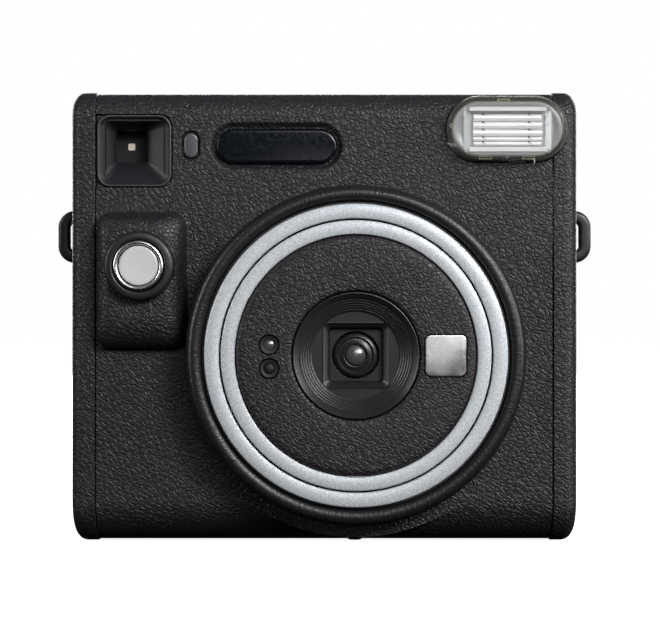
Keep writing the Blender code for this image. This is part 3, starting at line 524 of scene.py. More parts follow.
def grip():
    """The raised grip: it swells out of the face and slopes away below the button."""
    base = (-59.9, -36.6, 52.1, 87.5)
    top = (-55.6, -41.6, 60.6, 83.6)
    rise = -FACE + low("front_cover").y
    flare = 1.3
    loops = []
    for i in range(6):
        angle = radians(82 * i / 5)
        out, up = flare * (1 - sin(angle)), flare * (1 - cos(angle))
        loops.append((base, out, up - 0.12))
    start = loops[-1][2]
    full = []
    for rect, out, up in loops:
        x0, x1, z0, z1 = rect
        left = min(out, 0.0)
        centre = ((x0 - left + x1 + out) / 2, (z0 - out + z1 + out) / 2)
        full.append((centre, (x1 + out - x0 + left, z1 - z0 + 2 * out), 3.4 + out, up))
    for i in range(1, 15):
        angle = radians(90 * i / 14)
        share = 1 - cos(angle) ** 1.15
        up = start + (-rise - start) * sin(angle) ** 0.92
        x0, x1, z0, z1 = (a + (b - a) * share for a, b in zip(base, top))
        full.append((((x0 + x1) / 2, (z0 + z1) / 2), (x1 - x0, z1 - z0), 3.4 + 0.8 * share, up))
    shape = loft("grip", [place(rounded(c, s, r, 12), "Y", FACE - up) for c, s, r, up in full])
    cut(shape, rod("grip_hole", BUTTON, COLLAR_HOLE, (-30, -10), count=96))
    dress(shape, CASE, "leatherette", smooth=45)


def side_skin(side, word):
    node = "side_cover_" + word
    stations = [(SEAM_X, 0.22), (SEAM_X + 0.22, 0.0)]
    reach, shrink = 3.4, 4.6
    for i in range(13):
        angle = i / 12 * pi / 2
        stations.append((HALF_WIDTH - reach + reach * sin(angle), shrink * (1 - cos(angle))))
    inner = [(x - WALL, inset + WALL) for x, inset in stations[2:]][::-1]
    inner = [(min(x, HALF_WIDTH - WALL), inset) for x, inset in inner] + [(SEAM_X, WALL)]
    loops = [place(whole_outline(inset, SIDE_BOTTOM, SIDE_TOP), "X", side * x) for x, inset in stations]
    shell = loft("side_skin_" + word, loops)
    hollow = [place(whole_outline(inset, SIDE_BOTTOM, SIDE_TOP), "X", side * x) for x, inset in inner]
    hollow.append(place(whole_outline(WALL, SIDE_BOTTOM, SIDE_TOP), "X", side * (SEAM_X - 1)))
    cut(shell, loft("hollow", hollow))
    screw = middle("case_screw_" + word)
    at = (screw.y, screw.z)
    ends = sorted((side * (HALF_WIDTH - 1.2), side * (HALF_WIDTH + 5)))
    lug = middle("strap_lug_" + word)
    ends_deep = sorted((side * 62, side * 72))
    cutters = [
        loft("lug_dish", [place(rounded((lug.y, lug.z), (9.6, 16.4), 2.6), "X", side * (HALF_WIDTH + 1)),
                          place(rounded((lug.y, lug.z), (9.6, 16.4), 2.6), "X", side * (HALF_WIDTH - 0.4)),
                          place(rounded((lug.y, lug.z), (6.6, 13.4), 1.8), "X", side * (HALF_WIDTH - 1.3))]),
        prism("lug_slot", rounded((lug.y, lug.z), (3.6, 14.4), 0.8, 4), "X", ends_deep),
        rod("screw_hole", at, 1.3, ends_deep, "X", 32),
        rod("screw_sink", at, 2.4, ends, "X"),
    ]
    if side > 0:
        flash = middle("flash_window")
        cutters.append(prism("flash_cut", capsule((flash.x, flash.z), FLASH_HOLE), "Y", (FACE - 8, -6)))
    else:
        door_low, door_high = low("battery_door"), high("battery_door")
        cutters.append(box("door_cut", (-70, door_low.y - 0.35, door_low.z - 0.35),
                           (-62, door_high.y + 0.45, door_high.z + 0.35)))
    cut(shell, *cutters)
    dress(shell, CASE, "leatherette", [node], bevel=0.2, segments=2, smooth=38)


def rear_skin():
    skin = c_shell("rear_skin", False)
    door_low, door_high = low("film_door"), high("film_door")
    eye = middle("eyepiece_frame")
    dial = middle("counter_window")
    flap_low, flap_high = low("exit_flap"), high("exit_flap")
    cut(
        skin,
        box("door_cut", (door_low.x - 0.35, SEAM_Y + 12, door_low.z - 0.35),
            (door_high.x + 1.1, BACK + 4, door_high.z + 0.35)),
        box("slot_cut", (flap_low.x - 0.6, flap_low.y - 0.4, COVER_TOP - 5),
            (flap_high.x + 0.6, flap_high.y + 0.3, COVER_TOP + 5)),
        prism("eye_cut", rounded((eye.x, eye.z), (15.0, 13.2), 1.7), "Y", (18, BACK + 4)),
        rod("dial_cut", (dial.x, dial.z), 3.5, (18, BACK + 4), count=64),
        prism("foot_cut", capsule((middle("foot_rear").x, middle("foot_rear").y), (92.6, 5.6)), "Z",
              FOOT_POCKET),
    )
    dress(skin, CASE, "leatherette", bevel=0.25, segments=3)
    hinge = (high("film_door").x - 1.45, middle("film_door").y - 0.03)
    knuckles = []
    for z0, z1 in ((door_low.z + 0.2, door_low.z + 3.6), (door_high.z - 3.6, door_high.z - 0.2)):
        knuckle = turned("knuckle", hinge, [(1.2, z0), (1.45, z0 + 0.25), (1.45, z1 - 0.25), (1.2, z1)], "Z",
                         32, False)
        tab = box("tab", (hinge[0], hinge[1] - 1.3, z0 + 0.1), (57.2, hinge[1] + 0.6, z1 - 0.1))
        knuckles.append(cut(knuckle, tab, operation="UNION"))
    pin = rod("pin", hinge, 0.65, (door_low.z + 1, door_high.z - 1), "Z", 24)
    joined = join("hinge_knuckles", *knuckles, pin)
    dress(joined, CASE, "black_plastic", ["rear_cover"])


# ---------------------------------------------------------------- front details

# Ribs in the flash window: place above its middle, and width
FLASH_RIBS = ((3.15, 1.95), (1.15, 1.85), (-0.85, 1.9), (-2.45, 1.1), (-3.65, 1.05))


def badge():
    plate = middle("badge_plate") + BADGE_SHIFT
    size = (31.7, 9.0)
    y0 = low("badge_plate").y
    sections = [((size[0], size[1]), y0 + 1.3), ((size[0], size[1]), y0 + 0.5),
                ((size[0] - 0.3, size[1] - 0.3), y0 + 0.2),
                ((size[0] - 0.9, size[1] - 0.9), y0 + 0.03), ((size[0] - 1.8, size[1] - 1.8), y0)]
    dress(capsules("badge", (plate.x, plate.z), sections), CASE, "gloss_black",
          ["badge_plate"], smooth=50)
    window = middle("flash_sensor_window")
    y0 = low("flash_sensor_window").y
    sections = [((3.5, 6.5), y0 + 2.5), ((3.5, 6.5), y0 + 0.3), ((3.2, 6.2), y0 + 0.05), ((2.6, 5.6), y0)]
    dress(capsules("sensor_window", (window.x, window.z), sections), CASE, "grey_plastic",
          ["flash_sensor_window"], smooth=50)


def viewfinder():
    bezel = middle("viewfinder_bezel")
    inside = (middle("viewfinder_tube").x, middle("viewfinder_tube").z)
    centre = (bezel.x, bezel.z)
    face = low("viewfinder_bezel").y
    back = high("viewfinder_bezel").y
    sections = [(centre, (19.5, 18.9), 3.3, face + 0.9), (centre, (19.5, 18.9), 3.3, face + 0.3),
                (centre, (19.35, 18.75), 3.25, face + 0.1), (centre, (19.05, 18.45), 3.15, face),
                (centre, (18.5, 17.9), 2.9, face + 0.04), (centre, (18.25, 17.65), 2.8, face + 0.2)]
    start, end = (centre, (17.95, 17.35), 2.7, face + 0.35), (inside, (8.5, 8.9), 0.7, back - 1.4)
    steps = 8
    for i in range(steps + 1):
        t = i / steps
        mixed = [tuple(a + (b - a) * t for a, b in zip(start[k], end[k])) for k in (0, 1)]
        sections.append((*mixed, start[2] + (end[2] - start[2]) * t, start[3] + (end[3] - start[3]) * t))
    sections += [(inside, (8.1, 8.5), 0.6, back - 0.9), (inside, (8.1, 8.5), 0.6, back),
                 (inside, (10.6, 11.0), 1.0, back), (centre, (15.9, 15.9), 1.0, face + 1.0)]
    shape = loft("finder_bezel", [place(rounded(c, s, r, 10), "Y", y) for c, s, r, y in sections],
                 closed=True)
    dress(shape, CASE, "finder_black", ["viewfinder_bezel"], smooth=40)

    lip = [((19.36, 18.76), 3.25, face + 0.12), ((19.2, 18.6), 3.2, face + 0.02), ((18.85, 18.25), 3.1, face),
           ((18.7, 18.1), 3.0, face + 0.05), ((18.7, 18.1), 3.0, face + 0.3),
           ((19.36, 18.76), 3.25, face + 0.3)]
    dress(plates("finder_lip", centre, [(s, r, y - 0.02) for s, r, y in lip], closed=True), CASE, "lip_grey",
          smooth=50)

    y0 = low("viewfinder_front_lens").y
    loops = [place(rounded(inside, (s, s), 0.5, 4), "Y", y) for s, y in (
        (9.6, y0 + 1.6), (9.6, y0 + 0.4), (8.8, y0 + 0.15), (6.0, y0))]
    dress(loft("finder_glass", loops), CASE, "finder_glass",
          ["viewfinder_front_lens"], smooth=50)
    aim = (inside[0] - 0.6, inside[1] + 0.5)
    steps = ((inside, 10.0, 6.2, y0 + 1.9), (aim, 6.0, 4.5, y0 + 2.3), (aim, 4.3, 1.9, y0 + 2.7))
    stops = []
    for i, (at, outer, inner, y) in enumerate(steps):
        stop = [place(rounded(c, (s, s), 0.35, 3), "Y", yy) for c, s, yy in (
            (inside if i == 0 else at, outer + 0.3, y), (aim, inner + 0.25, y), (aim, inner, y + 0.15),
            (aim, inner, y + 0.55), (inside if i == 0 else at, outer + 0.3, y + 0.55))]
        stops.append(loft(f"stop_{i}", stop, closed=True))
    dress(join("finder_stops", *stops), CASE, "inner_black", smooth=40)
    # A glowing plate: painted light for the bright view through the finder.
    view = prism("finder_view", rounded(aim, (2.6, 2.6), 0.3, 3), "Y", (y0 + 3.3, y0 + 3.6))
    dress(view, CASE, "finder_light")

    eye = middle("eyepiece_frame")
    y1 = high("eyepiece_frame").y
    eye_at = (eye.x, eye.z)
    sections = [(eye_at, (14.4, 12.6), 1.4, BACK - 6.0), (eye_at, (14.4, 12.6), 1.4, y1 - 0.9),
                (eye_at, (14.1, 12.3), 1.5, y1 - 0.35), (eye_at, (13.4, 11.6), 1.5, y1),
                (eye_at, (12.0, 10.4), 1.4, y1), (eye_at, (11.2, 9.6), 1.2, y1 - 0.3),
                (inside, (8.8, 8.8), 0.8, y1 - 4.4), (inside, (8.4, 8.4), 0.6, y1 - 5.0),
                (inside, (8.4, 8.4), 0.6, BACK - 6.0)]
    shape = loft("eyepiece", [place(rounded(c, s, r), "Y", y) for c, s, r, y in sections], closed=True)
    dress(shape, CASE, "rubber", ["eyepiece_frame"], smooth=45)


def flash():
    """A clear window with a tinted wall, a grey surround, and a bright trough of ribs between two bars."""
    centre = (middle("flash_window").x, middle("flash_window").z)
    front, back = low("flash_window").y, high("flash_window").y
    size = (high("flash_window").x - low("flash_window").x, high("flash_window").z - low("flash_window").z)

    def ring_loops(sections):
        return [place(capsule(centre, (size[0] - 2 * d, size[1] - 2 * d), 20), "Y", y) for d, y in sections]

    outside = [(0.0, back), (0.0, front + 1.3), (0.12, front + 0.7), (0.4, front + 0.3), (0.85, front + 0.06),
               (1.5, front)]
    inside = [(1.6, front + 1.2), (1.2, front + 1.7), (1.2, back)]
    shell = loft("flash_edge", ring_loops(outside + inside), closed=True)
    dress(shell, CASE, "rim_plastic", ["flash_window"], smooth=60)
    pane = loft("flash_pane", ring_loops([(1.62, front + 1.1), (1.62, front + 0.03)]))
    dress(pane, CASE, "clear_plastic", smooth=60)

    dish = middle("flash_reflector")
    at = (dish.x + 0.2, dish.z)
    y0 = low("flash_reflector").y
    trough, deep = (22.6, 11.6), 1.6
    tray = plates("flash_tray", at, (
        ((trough[0] + 0.8, trough[1] + 0.6), 0.8, y0 + 0.1), (trough, 0.5, y0 + 0.1),
        ((19.4, 9.4), 0.4, y0 + deep), ((19.4, 9.4), 0.4, y0 + deep + 0.6),
        ((trough[0] + 0.8, trough[1] + 0.6), 0.8, y0 + deep + 0.6)), 4, True)
    bed = prism("flash_bed", rounded(at, (20.4, 10.4), 0.4, 4), "Y", (y0 + deep + 0.1, y0 + deep + 0.5))
    cut(tray, bed, operation="UNION")
    dress(tray, CASE, "reflector_side", ["flash_reflector"], smooth=30)
    ribs = []
    for place_z, width in FLASH_RIBS:
        outline = [(at[1] + place_z + width / 2 * cos(pi * k / 10),
                    y0 + deep - 0.3 - width * 0.26 * sin(pi * k / 10))
                   for k in range(11)]
        half = 9.2 - 0.25 * abs(place_z) * 0.3
        ribs.append(loft("rib", [[(x, y, z) for z, y in outline] for x in (at[0] - half, at[0] + half)]))
    for place_z, width in ((5.3, 0.95), (-5.3, 1.15)):
        ribs.append(prism("bar", rounded((at[0], at[1] + place_z), (20.3, width), 0.15, 3), "Y",
                          (y0 - 0.45, y0 + 0.3)))
    dress(join("flash_ribs", *ribs), CASE, "reflector", bevel=0.06, smooth=50)
    marks = []
    for x in (-6.4, 5.7):
        for place_z, width in FLASH_RIBS:
            spot = (at[0] + x, at[1] + place_z + width / 2 - 0.05)
            marks.append(turned("mark", spot, [(0.05, y0 + 0.6), (0.28, y0 + 0.75), (0.3, y0 + 1.5)],
                                count=12, closed=False))
            dot = (spot[0] + 0.5, spot[1] - 0.45)
            marks.append(turned("dot", dot, [(0.03, y0 + 0.55), (0.14, y0 + 0.7), (0.14, y0 + 1.5)], count=10,
                                closed=False))
    dress(join("flash_marks", *marks), CASE, "flash_dark", smooth=50)
    surround = loft("flash_surround", ring_loops([
        (1.35, y0 + 1.1), (1.35, y0 + 0.25), (1.9, y0 + 0.0), (2.6, y0 + 0.1),
        (3.2, y0 + 0.5), (4.4, y0 + 0.6), (4.4, y0 + 1.1)]), closed=True)
    panel = loft("panel", ring_loops([(3.6, y0 + 1.05), (3.6, y0 + 0.55)]))
    cut(surround, panel, operation="UNION")
    cut(surround, prism("hole", rounded(at, (trough[0] + 0.5, trough[1] + 0.4), 0.6, 4), "Y", (front, back)))
    dress(surround, CASE, "flash_grey", bevel=0.05, smooth=40)
    clips = []
    for x, z, wide, tall in ((-0.9, 7.55, 3.3, 0.7), (-5.7, -7.55, 3.3, 0.8), (5.6, -7.55, 3.3, 0.8),
                             (-14.6, 0.9, 0.7, 1.1)):
        spot = (centre[0] + x, centre[1] + z)
        edge = [place(rounded(spot, (wide - 2 * d, tall - 2 * d), 0.12, 2), "Y", y) for d, y in (
            (0, front + 1.9), (0, front + 3.6), (0.16, front + 3.6), (0.16, front + 1.9))]
        clips.append(loft("clip", edge, closed=True))
    dress(join("flash_clips", *clips), CASE, "flash_tint")


def button():
    collar_front = low("button_collar").y
    profile = [(2.5, -20.4), (6.8, -20.4), (6.8, collar_front + 0.75)]
    profile += arc((7.35, collar_front + 0.62), 0.6, 190, 290, 5)
    profile += arc((7.85, collar_front + 1.22), 1.2, -76, -2, 7)
    profile += [(9.05, collar_front + 2.6), (8.9, -19.4), (2.5, -19.4)]
    dress(turned("collar", BUTTON, profile, count=120), CASE, "soft_black",
          ["button_collar"], smooth=50)
    front = low("button_bezel").y
    ring = [(5.42, front + 3.2), (5.42, front + 0.75)] + arc((5.95, front + 0.55), 0.53, 180, 360, 8)
    ring = ring + [(6.5, front + 3.2)]
    dress(turned("bezel", BUTTON, ring, count=120), CASE, "polished_metal",
          ["button_bezel"], smooth=50)
    face = low("shutter_button").y
    disc = [(0.02, face + 0.1), (2.6, face + 0.06), (4.3, face + 0.0)]
    disc += arc((4.75, face + 0.4), 0.4, -90, 0, 5)
    disc += [(5.15, -25.5), (4.6, -25.2), (2.0, -25.2), (2.0, -13.6)]
    dress(turned("button", BUTTON, disc, count=96, closed=False), "shutter_button", "button_silver",
          ["shutter_button"], smooth=50)


# ---------------------------------------------------------------- lens

def lens_rings():
    y = low("ring_grip").y
    profile = [(38.2, y + 2.0), (39.85, y + 2.0), (39.85, y + 1.15), (40.1, y + 0.72), (40.6, y + 0.3),
               (41.2, y + 0.06), (41.8, y), (42.4, y + 0.07), (43.0, y + 0.36), (43.5, y + 0.9),
               (43.9, y + 1.8), (44.13, y + 2.8), (44.2, y + 3.8), (44.1, y + 5.2), (43.85, y + 6.8),
               (43.5, y + 8.2), (43.1, y + 9.6), (42.75, y + 11.0), (42.7, y + 11.7), (38.2, y + 11.7)]
    dress(turned("grip_ring", LENS, profile, count=220), "mode_ring", "ring_leather",
          ["ring_grip"], smooth=50)
    front, back = low("ring_trim").y, high("ring_trim").y
    outer = [(35.3, back), (35.3, front + 0.35), (35.42, front + 0.1), (35.62, front), (38.7, front),
             (38.95, front + 0.16), (39.1, front + 0.42), (39.1, back)]
    dress(turned("outer_trim", LENS, outer, count=220), "mode_ring", "silver_trim",
          ["ring_trim"], smooth=50)
    front, back = low("barrel_trim").y, high("barrel_trim").y
    inner = [(31.2, back), (31.2, front + 0.3), (31.3, front + 0.1), (31.5, front), (34.45, front),
             (34.68, front + 0.12), (34.8, front + 0.35), (34.8, back)]
    dress(turned("inner_trim", LENS, inner, count=220), BARREL, "silver_trim",
          ["barrel_trim"], smooth=50)


def lens_front():
    front = low("front_disc").y
    profile = [(16.6, front + 2.0), (30.9, front + 2.0), (30.9, front + 1.1), (30.78, front + 0.74),
               (30.52, front + 0.43), (30.15, front + 0.2), (29.7, front + 0.06), (29.1, front),
               (17.9, front), (17.2, front + 0.05), (16.8, front + 0.22), (16.6, front + 0.5)]
    disc = turned("disc", LENS, profile, count=200)
    mirror = middle("selfie_mirror")
    meters = [(LENS[0] - 22.3, LENS[1] + 2.8), (LENS[0] - 22.3, LENS[1] - 3.3)]
    cut(disc, prism("mirror_cut", rounded((mirror.x, mirror.z), (11.2, 11.2), 1.8), "Y",
                    (front - 2, front + 5)),
        prism("meter_seat", capsule((meters[0][0], LENS[1] - 0.25), (5.7, 11.8)), "Y",
              (front + 1.0, front + 5)),
        *[rod(f"meter_cut_{i}", at, 2.75, (front - 2, front + 5))
          for i, at in enumerate(meters)])
    dress(disc, BARREL, "disc_leather", ["front_disc"], bevel=0.12, segments=2, smooth=48)
    y0 = low("selfie_mirror").y
    loops = [place(rounded((mirror.x, mirror.z), (s, s), r), "Y", y) for s, r, y in (
        (10.7, 1.6, y0 + 1.7), (10.7, 1.6, y0 + 0.16), (10.5, 1.55, y0 + 0.03), (10.1, 1.4, y0))]
    dress(loft("mirror", loops), BARREL, "mirror", ["selfie_mirror"], smooth=50)
    for i, at in enumerate(meters):
        ring = [(2.4, front + 1.2), (2.4, front + 0.75), (2.3, front + 0.6), (1.5, front + 0.7),
                (1.4, front + 1.2)]
        dress(turned(f"meter_ring_{i}", at, ring, count=48), BARREL, "soft_black", smooth=50)
        dome = [(0.02, front + 0.68), (0.5, front + 0.72), (1.0, front + 0.88), (1.35, front + 1.1),
                (1.35, front + 1.3)]
        dress(turned(f"meter_eye_{i}", at, dome, count=40, closed=False), BARREL,
              "lens_coating" if i == 0 else "inner_black",
              ["meter_lenses"] if i == 0 else (), smooth=50)
    dash = box("index_dash", (LENS[0] - 2.5, front + 0.7, LENS[1] - 31.16),
               (LENS[0] + 2.5, front + 1.6, LENS[1] - 30.92))
    dress(dash, BARREL, "mark_grey")


def lens_hood():
    """A smooth outer cone, five grooves, a flat disc with a square frame, and the lens in its mount."""
    front, back = low("lens_hood").y, high("lens_hood").y
    profile = [(16.3, back), (16.3, front + 0.2), (16.22, front + 0.04), (16.05, front), (15.9, front + 0.12)]
    grooves = 5
    start, end = (14.6, front + 1.5), (11.5, front + 4.1)
    run, drop = (start[0] - end[0]) / grooves, (end[1] - start[1]) / grooves
    for i in range(grooves):
        r, y = start[0] - run * i, start[1] + drop * i
        profile += [(r, y), (r - 0.06, y + 0.34), (r - 0.22, y + 0.3), (r - run + 0.04, y + drop - 0.04)]
    flat = front + 4.7
    profile += [end, (11.42, flat), (8.0, flat), (8.0, back)]
    hood = turned("hood", LENS, profile, count=160)
    cut(hood, prism("square", rounded(LENS, (17.4, 17.4), 1.5), "Y", (front - 3, back + 3)))
    dress(hood, BARREL, "hood_black", ["lens_hood"], smooth=28)
    floor_y = low("shutter_housing").y
    walls = [((17.3, 17.3), 1.5, flat - 0.05), ((16.9, 16.9), 1.4, flat - 0.1), ((16.6, 16.6), 1.35, flat),
             ((14.4, 14.4), 1.1, flat + 1.2), ((13.5, 13.5), 0.9, floor_y - 0.1),
             ((17.1, 17.1), 1.0, floor_y - 0.1)]
    tunnel = plates("light_baffle", LENS, walls, closed=True)
    dress(tunnel, BARREL, "soft_black", smooth=30)
    plate = prism("lens_plate", rounded(LENS, (13.6, 13.6), 0.9), "Y", (floor_y - 0.5, floor_y - 0.12))
    cut(plate, rod("plate_hole", LENS, 6.2, (floor_y - 2, floor_y + 1), count=64))
    dress(plate, BARREL, "soft_black", bevel=0.1)
    mount = [(2.9, floor_y - 0.1), (2.95, floor_y - 0.7), (3.15, floor_y - 0.75), (3.9, floor_y - 0.3),
             (4.35, floor_y - 0.25), (4.6, floor_y - 0.8), (4.8, floor_y - 1.0), (5.35, floor_y - 0.85),
             (5.65, floor_y - 0.5), (5.7, floor_y - 0.1)]
    dress(turned("lens_mount", LENS, mount, count=96), BARREL, "hood_black", smooth=35)
    glass = [(0.02, floor_y - 1.0), (0.9, floor_y - 0.93), (1.8, floor_y - 0.66), (2.45, floor_y - 0.22),
             (2.85, floor_y + 0.3), (2.85, floor_y + 0.5), (0.02, floor_y + 0.5)]
    dress(turned("front_glass", LENS, glass, count=72, closed=False), BARREL, "lens_coating",
          ["front_lens"], smooth=50)


# ---------------------------------------------------------------- lugs, feet, screws and doors

def strap_lug(side, word):
    node = "strap_lug_" + word
    a, b = low(node), high(node)
    out = max(abs(a.x), abs(b.x))
    thick = 3.5
    x0, x1 = 62.8 + thick / 2, out - thick / 2
    z0, z1 = a.z + thick / 2 - 0.75, b.z - thick / 2 + 0.35
    y = (a.y + b.y) / 2
    corner = 2.9
    path = [(x0, z1), (x0, z0)] + arc((x1 - corner, z0 + corner), corner, -90, 0, 8)
    path += arc((x1 - corner, z1 - corner), corner, 0, 90, 8)
    loops = []
    for i, (px, pz) in enumerate(path):
        before, after = Vector(path[i - 1]), Vector(path[(i + 1) % len(path)])
        way = (after - before).normalized()
        if i == 0 or i == 1:
            way = Vector((-1, -1)).normalized() if i == 0 else Vector((1, -1)).normalized()
        normal = Vector((way.y, -way.x))
        stretch = 1.2 if i < 2 else 1.0
        loops.append([(side * (px + normal.x * u * stretch), y + v, pz + normal.y * u * stretch)
                      for u, v in rounded((0, 0), (thick - 0.1, b.y - a.y), 1.15, 5)])
    dress(loft("lug_" + word, loops, closed=True), CASE, "soft_black", [node], smooth=50)


def small_parts():
    for word, side in (("left", -1), ("right", 1)):
        node = "case_screw_" + word
        centre = middle(node)
        out = side * (HALF_WIDTH - 0.2)
        profile = [(1.0, out - side * 7), (1.0, out - side * 0.9), (2.05, out - side * 0.85),
                   (2.05, out - side * 0.45),
                   (1.85, out - side * 0.16), (1.4, out)]
        screw = turned("screw_" + word, (centre.y, centre.z), profile, "X", 48, False)
        ends = sorted((out - side * 0.55, out + side))
        cut(screw, *[prism(f"cross_{k}", rounded((centre.y, centre.z), s, 0.1, 2), "X", ends)
                     for k, s in enumerate(((2.4, 0.5), (0.5, 2.4)))])
        dress(screw, CASE, "steel", [node], smooth=40)


def film_door():
    a, b = low("film_door"), high("film_door")
    hinge = (b.x - 1.45, middle("film_door").y - 0.03)
    right = hinge[0] - 0.7
    plate = prism("door_panel", rounded(((a.x + right) / 2, (a.z + b.z) / 2), (right - a.x, b.z - a.z), 1.6),
                  "Y", (25.7, 28.5))
    window = middle("door_window")
    latch = middle("door_latch")
    cutters = [box(f"notch_{k}", (hinge[0] - 1.95, 20, z0), (hinge[0] + 5, 35, z1))
               for k, (z0, z1) in enumerate(((a.z - 1, a.z + 4.0), (b.z - 4.0, b.z + 1)))]
    cutters += [prism("window_cut", rounded((window.x, window.z), (9.6, 34.6), 1.6), "Y", (20, 35)),
                prism("latch_cut", rounded((latch.x, latch.z + 2.2), (5.9, 16.8), 1.0), "Y", (26.7, 35)),
                box("latch_slot", (latch.x - 1.3, 20, latch.z - 4.4), (latch.x + 1.3, 35, latch.z + 8.8))]
    cut(plate, *cutters)
    dress(plate, "film_door", "leatherette", ["film_door"], bevel=0.3, segments=3)
    barrel = turned("door_barrel", hinge, [(0.95, a.z + 4.0), (1.25, a.z + 4.0), (1.45, a.z + 4.3),
                                           (1.45, b.z - 4.3),
                                            (1.25, b.z - 4.0), (0.95, b.z - 4.0)], "Z", 40)
    dress(barrel, "film_door", "black_plastic", smooth=50)
    panel = prism("door_ridge", rounded((a.x + 45, (a.z + b.z) / 2), (76, 84), 4.0), "Y", (28.35, 28.58))
    cut(panel, prism("inner", rounded((a.x + 45, (a.z + b.z) / 2), (74.6, 82.6), 3.4), "Y", (20, 35)))
    dress(panel, "film_door", "leatherette", bevel=0.08)
    y1 = high("door_window").y
    loops = [place(rounded((window.x, window.z), s, 1.3), "Y", y) for s, y in (
        ((9.0, 34.0), y1 - 2.2), ((9.0, 34.0), y1 - 0.3), ((8.7, 33.7), y1 - 0.06), ((8.2, 33.2), y1))]
    dress(loft("pack_window", loops), "film_door", "smoked", ["door_window"], smooth=50)
    bed = prism("latch_knob", rounded((latch.x, latch.z), (5.2, 11.6), 0.9), "Y", (27.0, 28.7))
    ribs = [prism(f"rib_{k}", rounded((latch.x, latch.z - 4 + 1.6 * k), (3.9, 0.75), 0.3, 4), "Y",
                  (28.2, 29.3)) for k in range(6)]
    hook = box("hook", (latch.x - 0.8, 25.0, 50.0), (latch.x + 0.8, 27.4, 57.4))
    cut(bed, hook, *ribs, operation="UNION")
    dress(bed, "door_latch", "black_plastic", ["door_latch"], bevel=0.18, segments=2)


def other_doors():
    a, b = low("battery_door"), high("battery_door")
    hinge = (a.x + 0.8, b.y - 0.8)
    outline = arc(hinge, 0.8, 180, 0, 10) + [(b.x, a.y), (a.x, a.y)]
    door = prism("power_door", outline, "Z", (a.z, b.z))
    grooves = [box(f"groove_{k}", (a.x - 1, a.y + 2.0, a.z + 4 + 1.5 * k),
                   (a.x + 0.35, a.y + 10.5, a.z + 4.7 + 1.5 * k)) for k in range(6)]
    cut(door, *grooves)
    dress(door, "battery_door", "leatherette", ["battery_door"], bevel=0.15, segments=2)
    a, b = low("exit_flap"), high("exit_flap")
    hinge = (b.y - 0.45, (a.z + b.z) / 2)
    outline = arc(hinge, 0.45, -90, 90, 10) + [(a.y, b.z), (a.y, a.z)]
    flap = prism("flap", outline, "X", (a.x, b.x))
    dress(flap, "exit_flap", "black_plastic", ["exit_flap"], bevel=0.12, segments=2)
    dial = middle("counter_window")
    y1 = high("counter_window").y
    rod = [(0.02, y1 + 0.0), (2.4, y1), (2.9, y1 - 0.08), (3.2, y1 - 0.3), (3.2, y1 - 1.7), (0.02, y1 - 1.7)]
    dress(turned("dial_glass", (dial.x, dial.z), rod, count=48, closed=False), CASE, "clear_plastic",
          ["counter_window"], smooth=50)


# ---------------------------------------------------------------- carried-over CAD nodes

def repaint():
    """The record's slot gives each CAD node that still shows its procedural material; the inner nodes get
    inner_black instead.
    """
    slots = {part["node"]: part["material_slot"] for part in frame["record"]["subparts"]}
    inner = ("guide_tube", "ring_sleeve", "barrel_tube", "shutter_housing", "chassis", "film_cartridge",
             "viewfinder_tube")
    for name, node in frame["nodes"].items():
        look = "inner_black" if name in inner else slots[name]
        node.data.materials.clear()
        node.data.materials.append(LOOKS[look])
        smooth_shade(node.data, 30)


# ---------------------------------------------------------------- stage

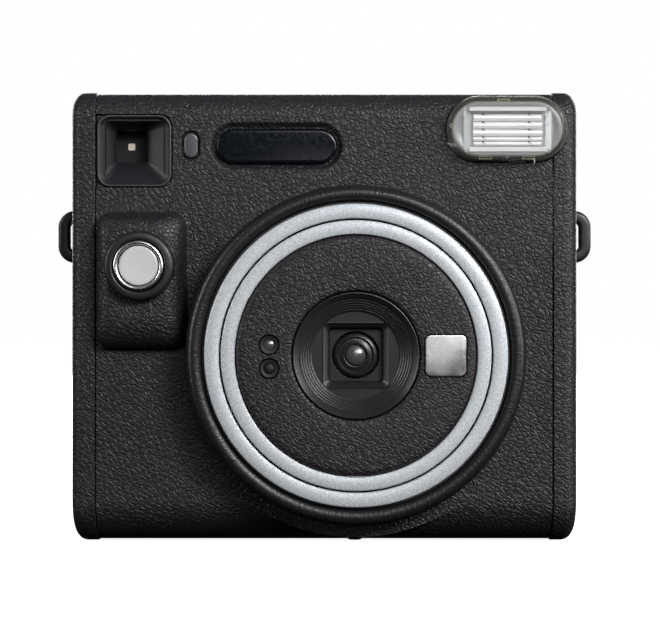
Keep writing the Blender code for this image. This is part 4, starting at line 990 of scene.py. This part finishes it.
def stage():
    scene = bpy.context.scene
    scene.view_settings.view_transform = "Standard"
    scene.view_settings.look = "None"
    floor_mesh = bpy.data.meshes.new("floor")
    half = 4.0
    floor_mesh.from_pydata([(-half, -half, 0), (half, -half, 0), (half, half, 0), (-half, half, 0)], [],
                           [(0, 1, 2, 3)])
    floor = bpy.data.objects.new("floor", floor_mesh)
    scene.collection.objects.link(floor)
    paint = Paint("pale_floor", (0.9, 0.9, 0.9), 0.8, Emission_Color=(1, 1, 1, 1), Emission_Strength=0.93)
    wide = paint.noise(6.0, 2.0)
    paint.colour(paint.between((0.88, 0.88, 0.88), (0.92, 0.92, 0.92), wide))
    floor_mesh.materials.append(paint.material)
    floor.visible_diffuse = False
    floor.visible_glossy = False
    floor.visible_transmission = False

    world = bpy.data.worlds.new("studio")
    scene.world = world
    world.use_nodes = True
    nodes, links = world.node_tree.nodes, world.node_tree.links
    nodes.clear()
    seen = nodes.new("ShaderNodeBackground")
    seen.inputs["Color"].default_value = (1, 1, 1, 1)
    lit = nodes.new("ShaderNodeBackground")
    coord = nodes.new("ShaderNodeTexCoord")
    split = nodes.new("ShaderNodeSeparateXYZ")
    ramp = nodes.new("ShaderNodeValToRGB")
    shift = nodes.new("ShaderNodeMapRange")
    shift.inputs["From Min"].default_value = -1
    links.new(coord.outputs["Generated"], split.inputs[0])
    links.new(split.outputs["Z"], shift.inputs["Value"])
    links.new(shift.outputs[0], ramp.inputs["Fac"])
    ramp.color_ramp.elements[0].color = (0.02, 0.02, 0.02, 1)
    ramp.color_ramp.elements[0].position = 0.35
    ramp.color_ramp.elements[1].color = (0.5, 0.5, 0.52, 1)
    ramp.color_ramp.elements[1].position = 0.75
    links.new(ramp.outputs[0], lit.inputs["Color"])
    lit.inputs["Strength"].default_value = 0.16
    path = nodes.new("ShaderNodeLightPath")
    mix = nodes.new("ShaderNodeMixShader")
    out = nodes.new("ShaderNodeOutputWorld")
    links.new(path.outputs["Is Camera Ray"], mix.inputs["Fac"])
    links.new(lit.outputs[0], mix.inputs[1])
    links.new(seen.outputs[0], mix.inputs[2])
    links.new(mix.outputs[0], out.inputs[0])

    target = Vector((0, 0, 0.06))
    for name, spot, size, power in (
        ("front", (0.25, -1.3, 0.6), (0.6, 0.3), 3.6),
        ("key", (0.8, -1.2, 0.72), (0.5, 0.4), 20.0),
        ("card", (0.025, -0.72, 0.09), (0.12, 0.12), 0.06),
        ("left", (-1.1, -0.42, 0.4), (0.2, 0.7), 5.5),
        ("right", (1.1, -0.36, 0.4), (0.2, 0.7), 7.5),
        ("top", (0.0, 0.7, 1.4), (1.2, 0.5), 0.6),
        ("behind", (0.0, 1.3, 0.4), (1.8, 0.6), 30.0),
    ):
        light = bpy.data.lights.new(name, "AREA")
        light.shape = "RECTANGLE"
        light.size, light.size_y = size
        light.energy = power
        lamp = bpy.data.objects.new(name, light)
        lamp.location = spot
        lamp.rotation_euler = (target - Vector(spot)).to_track_quat("-Z", "Y").to_euler()
        scene.collection.objects.link(lamp)

    lens = bpy.data.cameras.new("camera")
    lens.sensor_width = 36
    lens.sensor_fit = "HORIZONTAL"
    lens.lens = 98.9
    camera = bpy.data.objects.new("camera", lens)
    camera.location = (0.0015, -0.495, 0.06045)
    camera.rotation_euler = (pi / 2, 0, 0)
    scene.collection.objects.link(camera)
    scene.camera = camera


repaint()
front_skin()
grip()
side_skin(-1, "left")
side_skin(1, "right")
rear_skin()
badge()
viewfinder()
flash()
button()
lens_rings()
lens_front()
lens_hood()
strap_lug(-1, "left")
strap_lug(1, "right")
small_parts()
film_door()
other_doors()
stage()
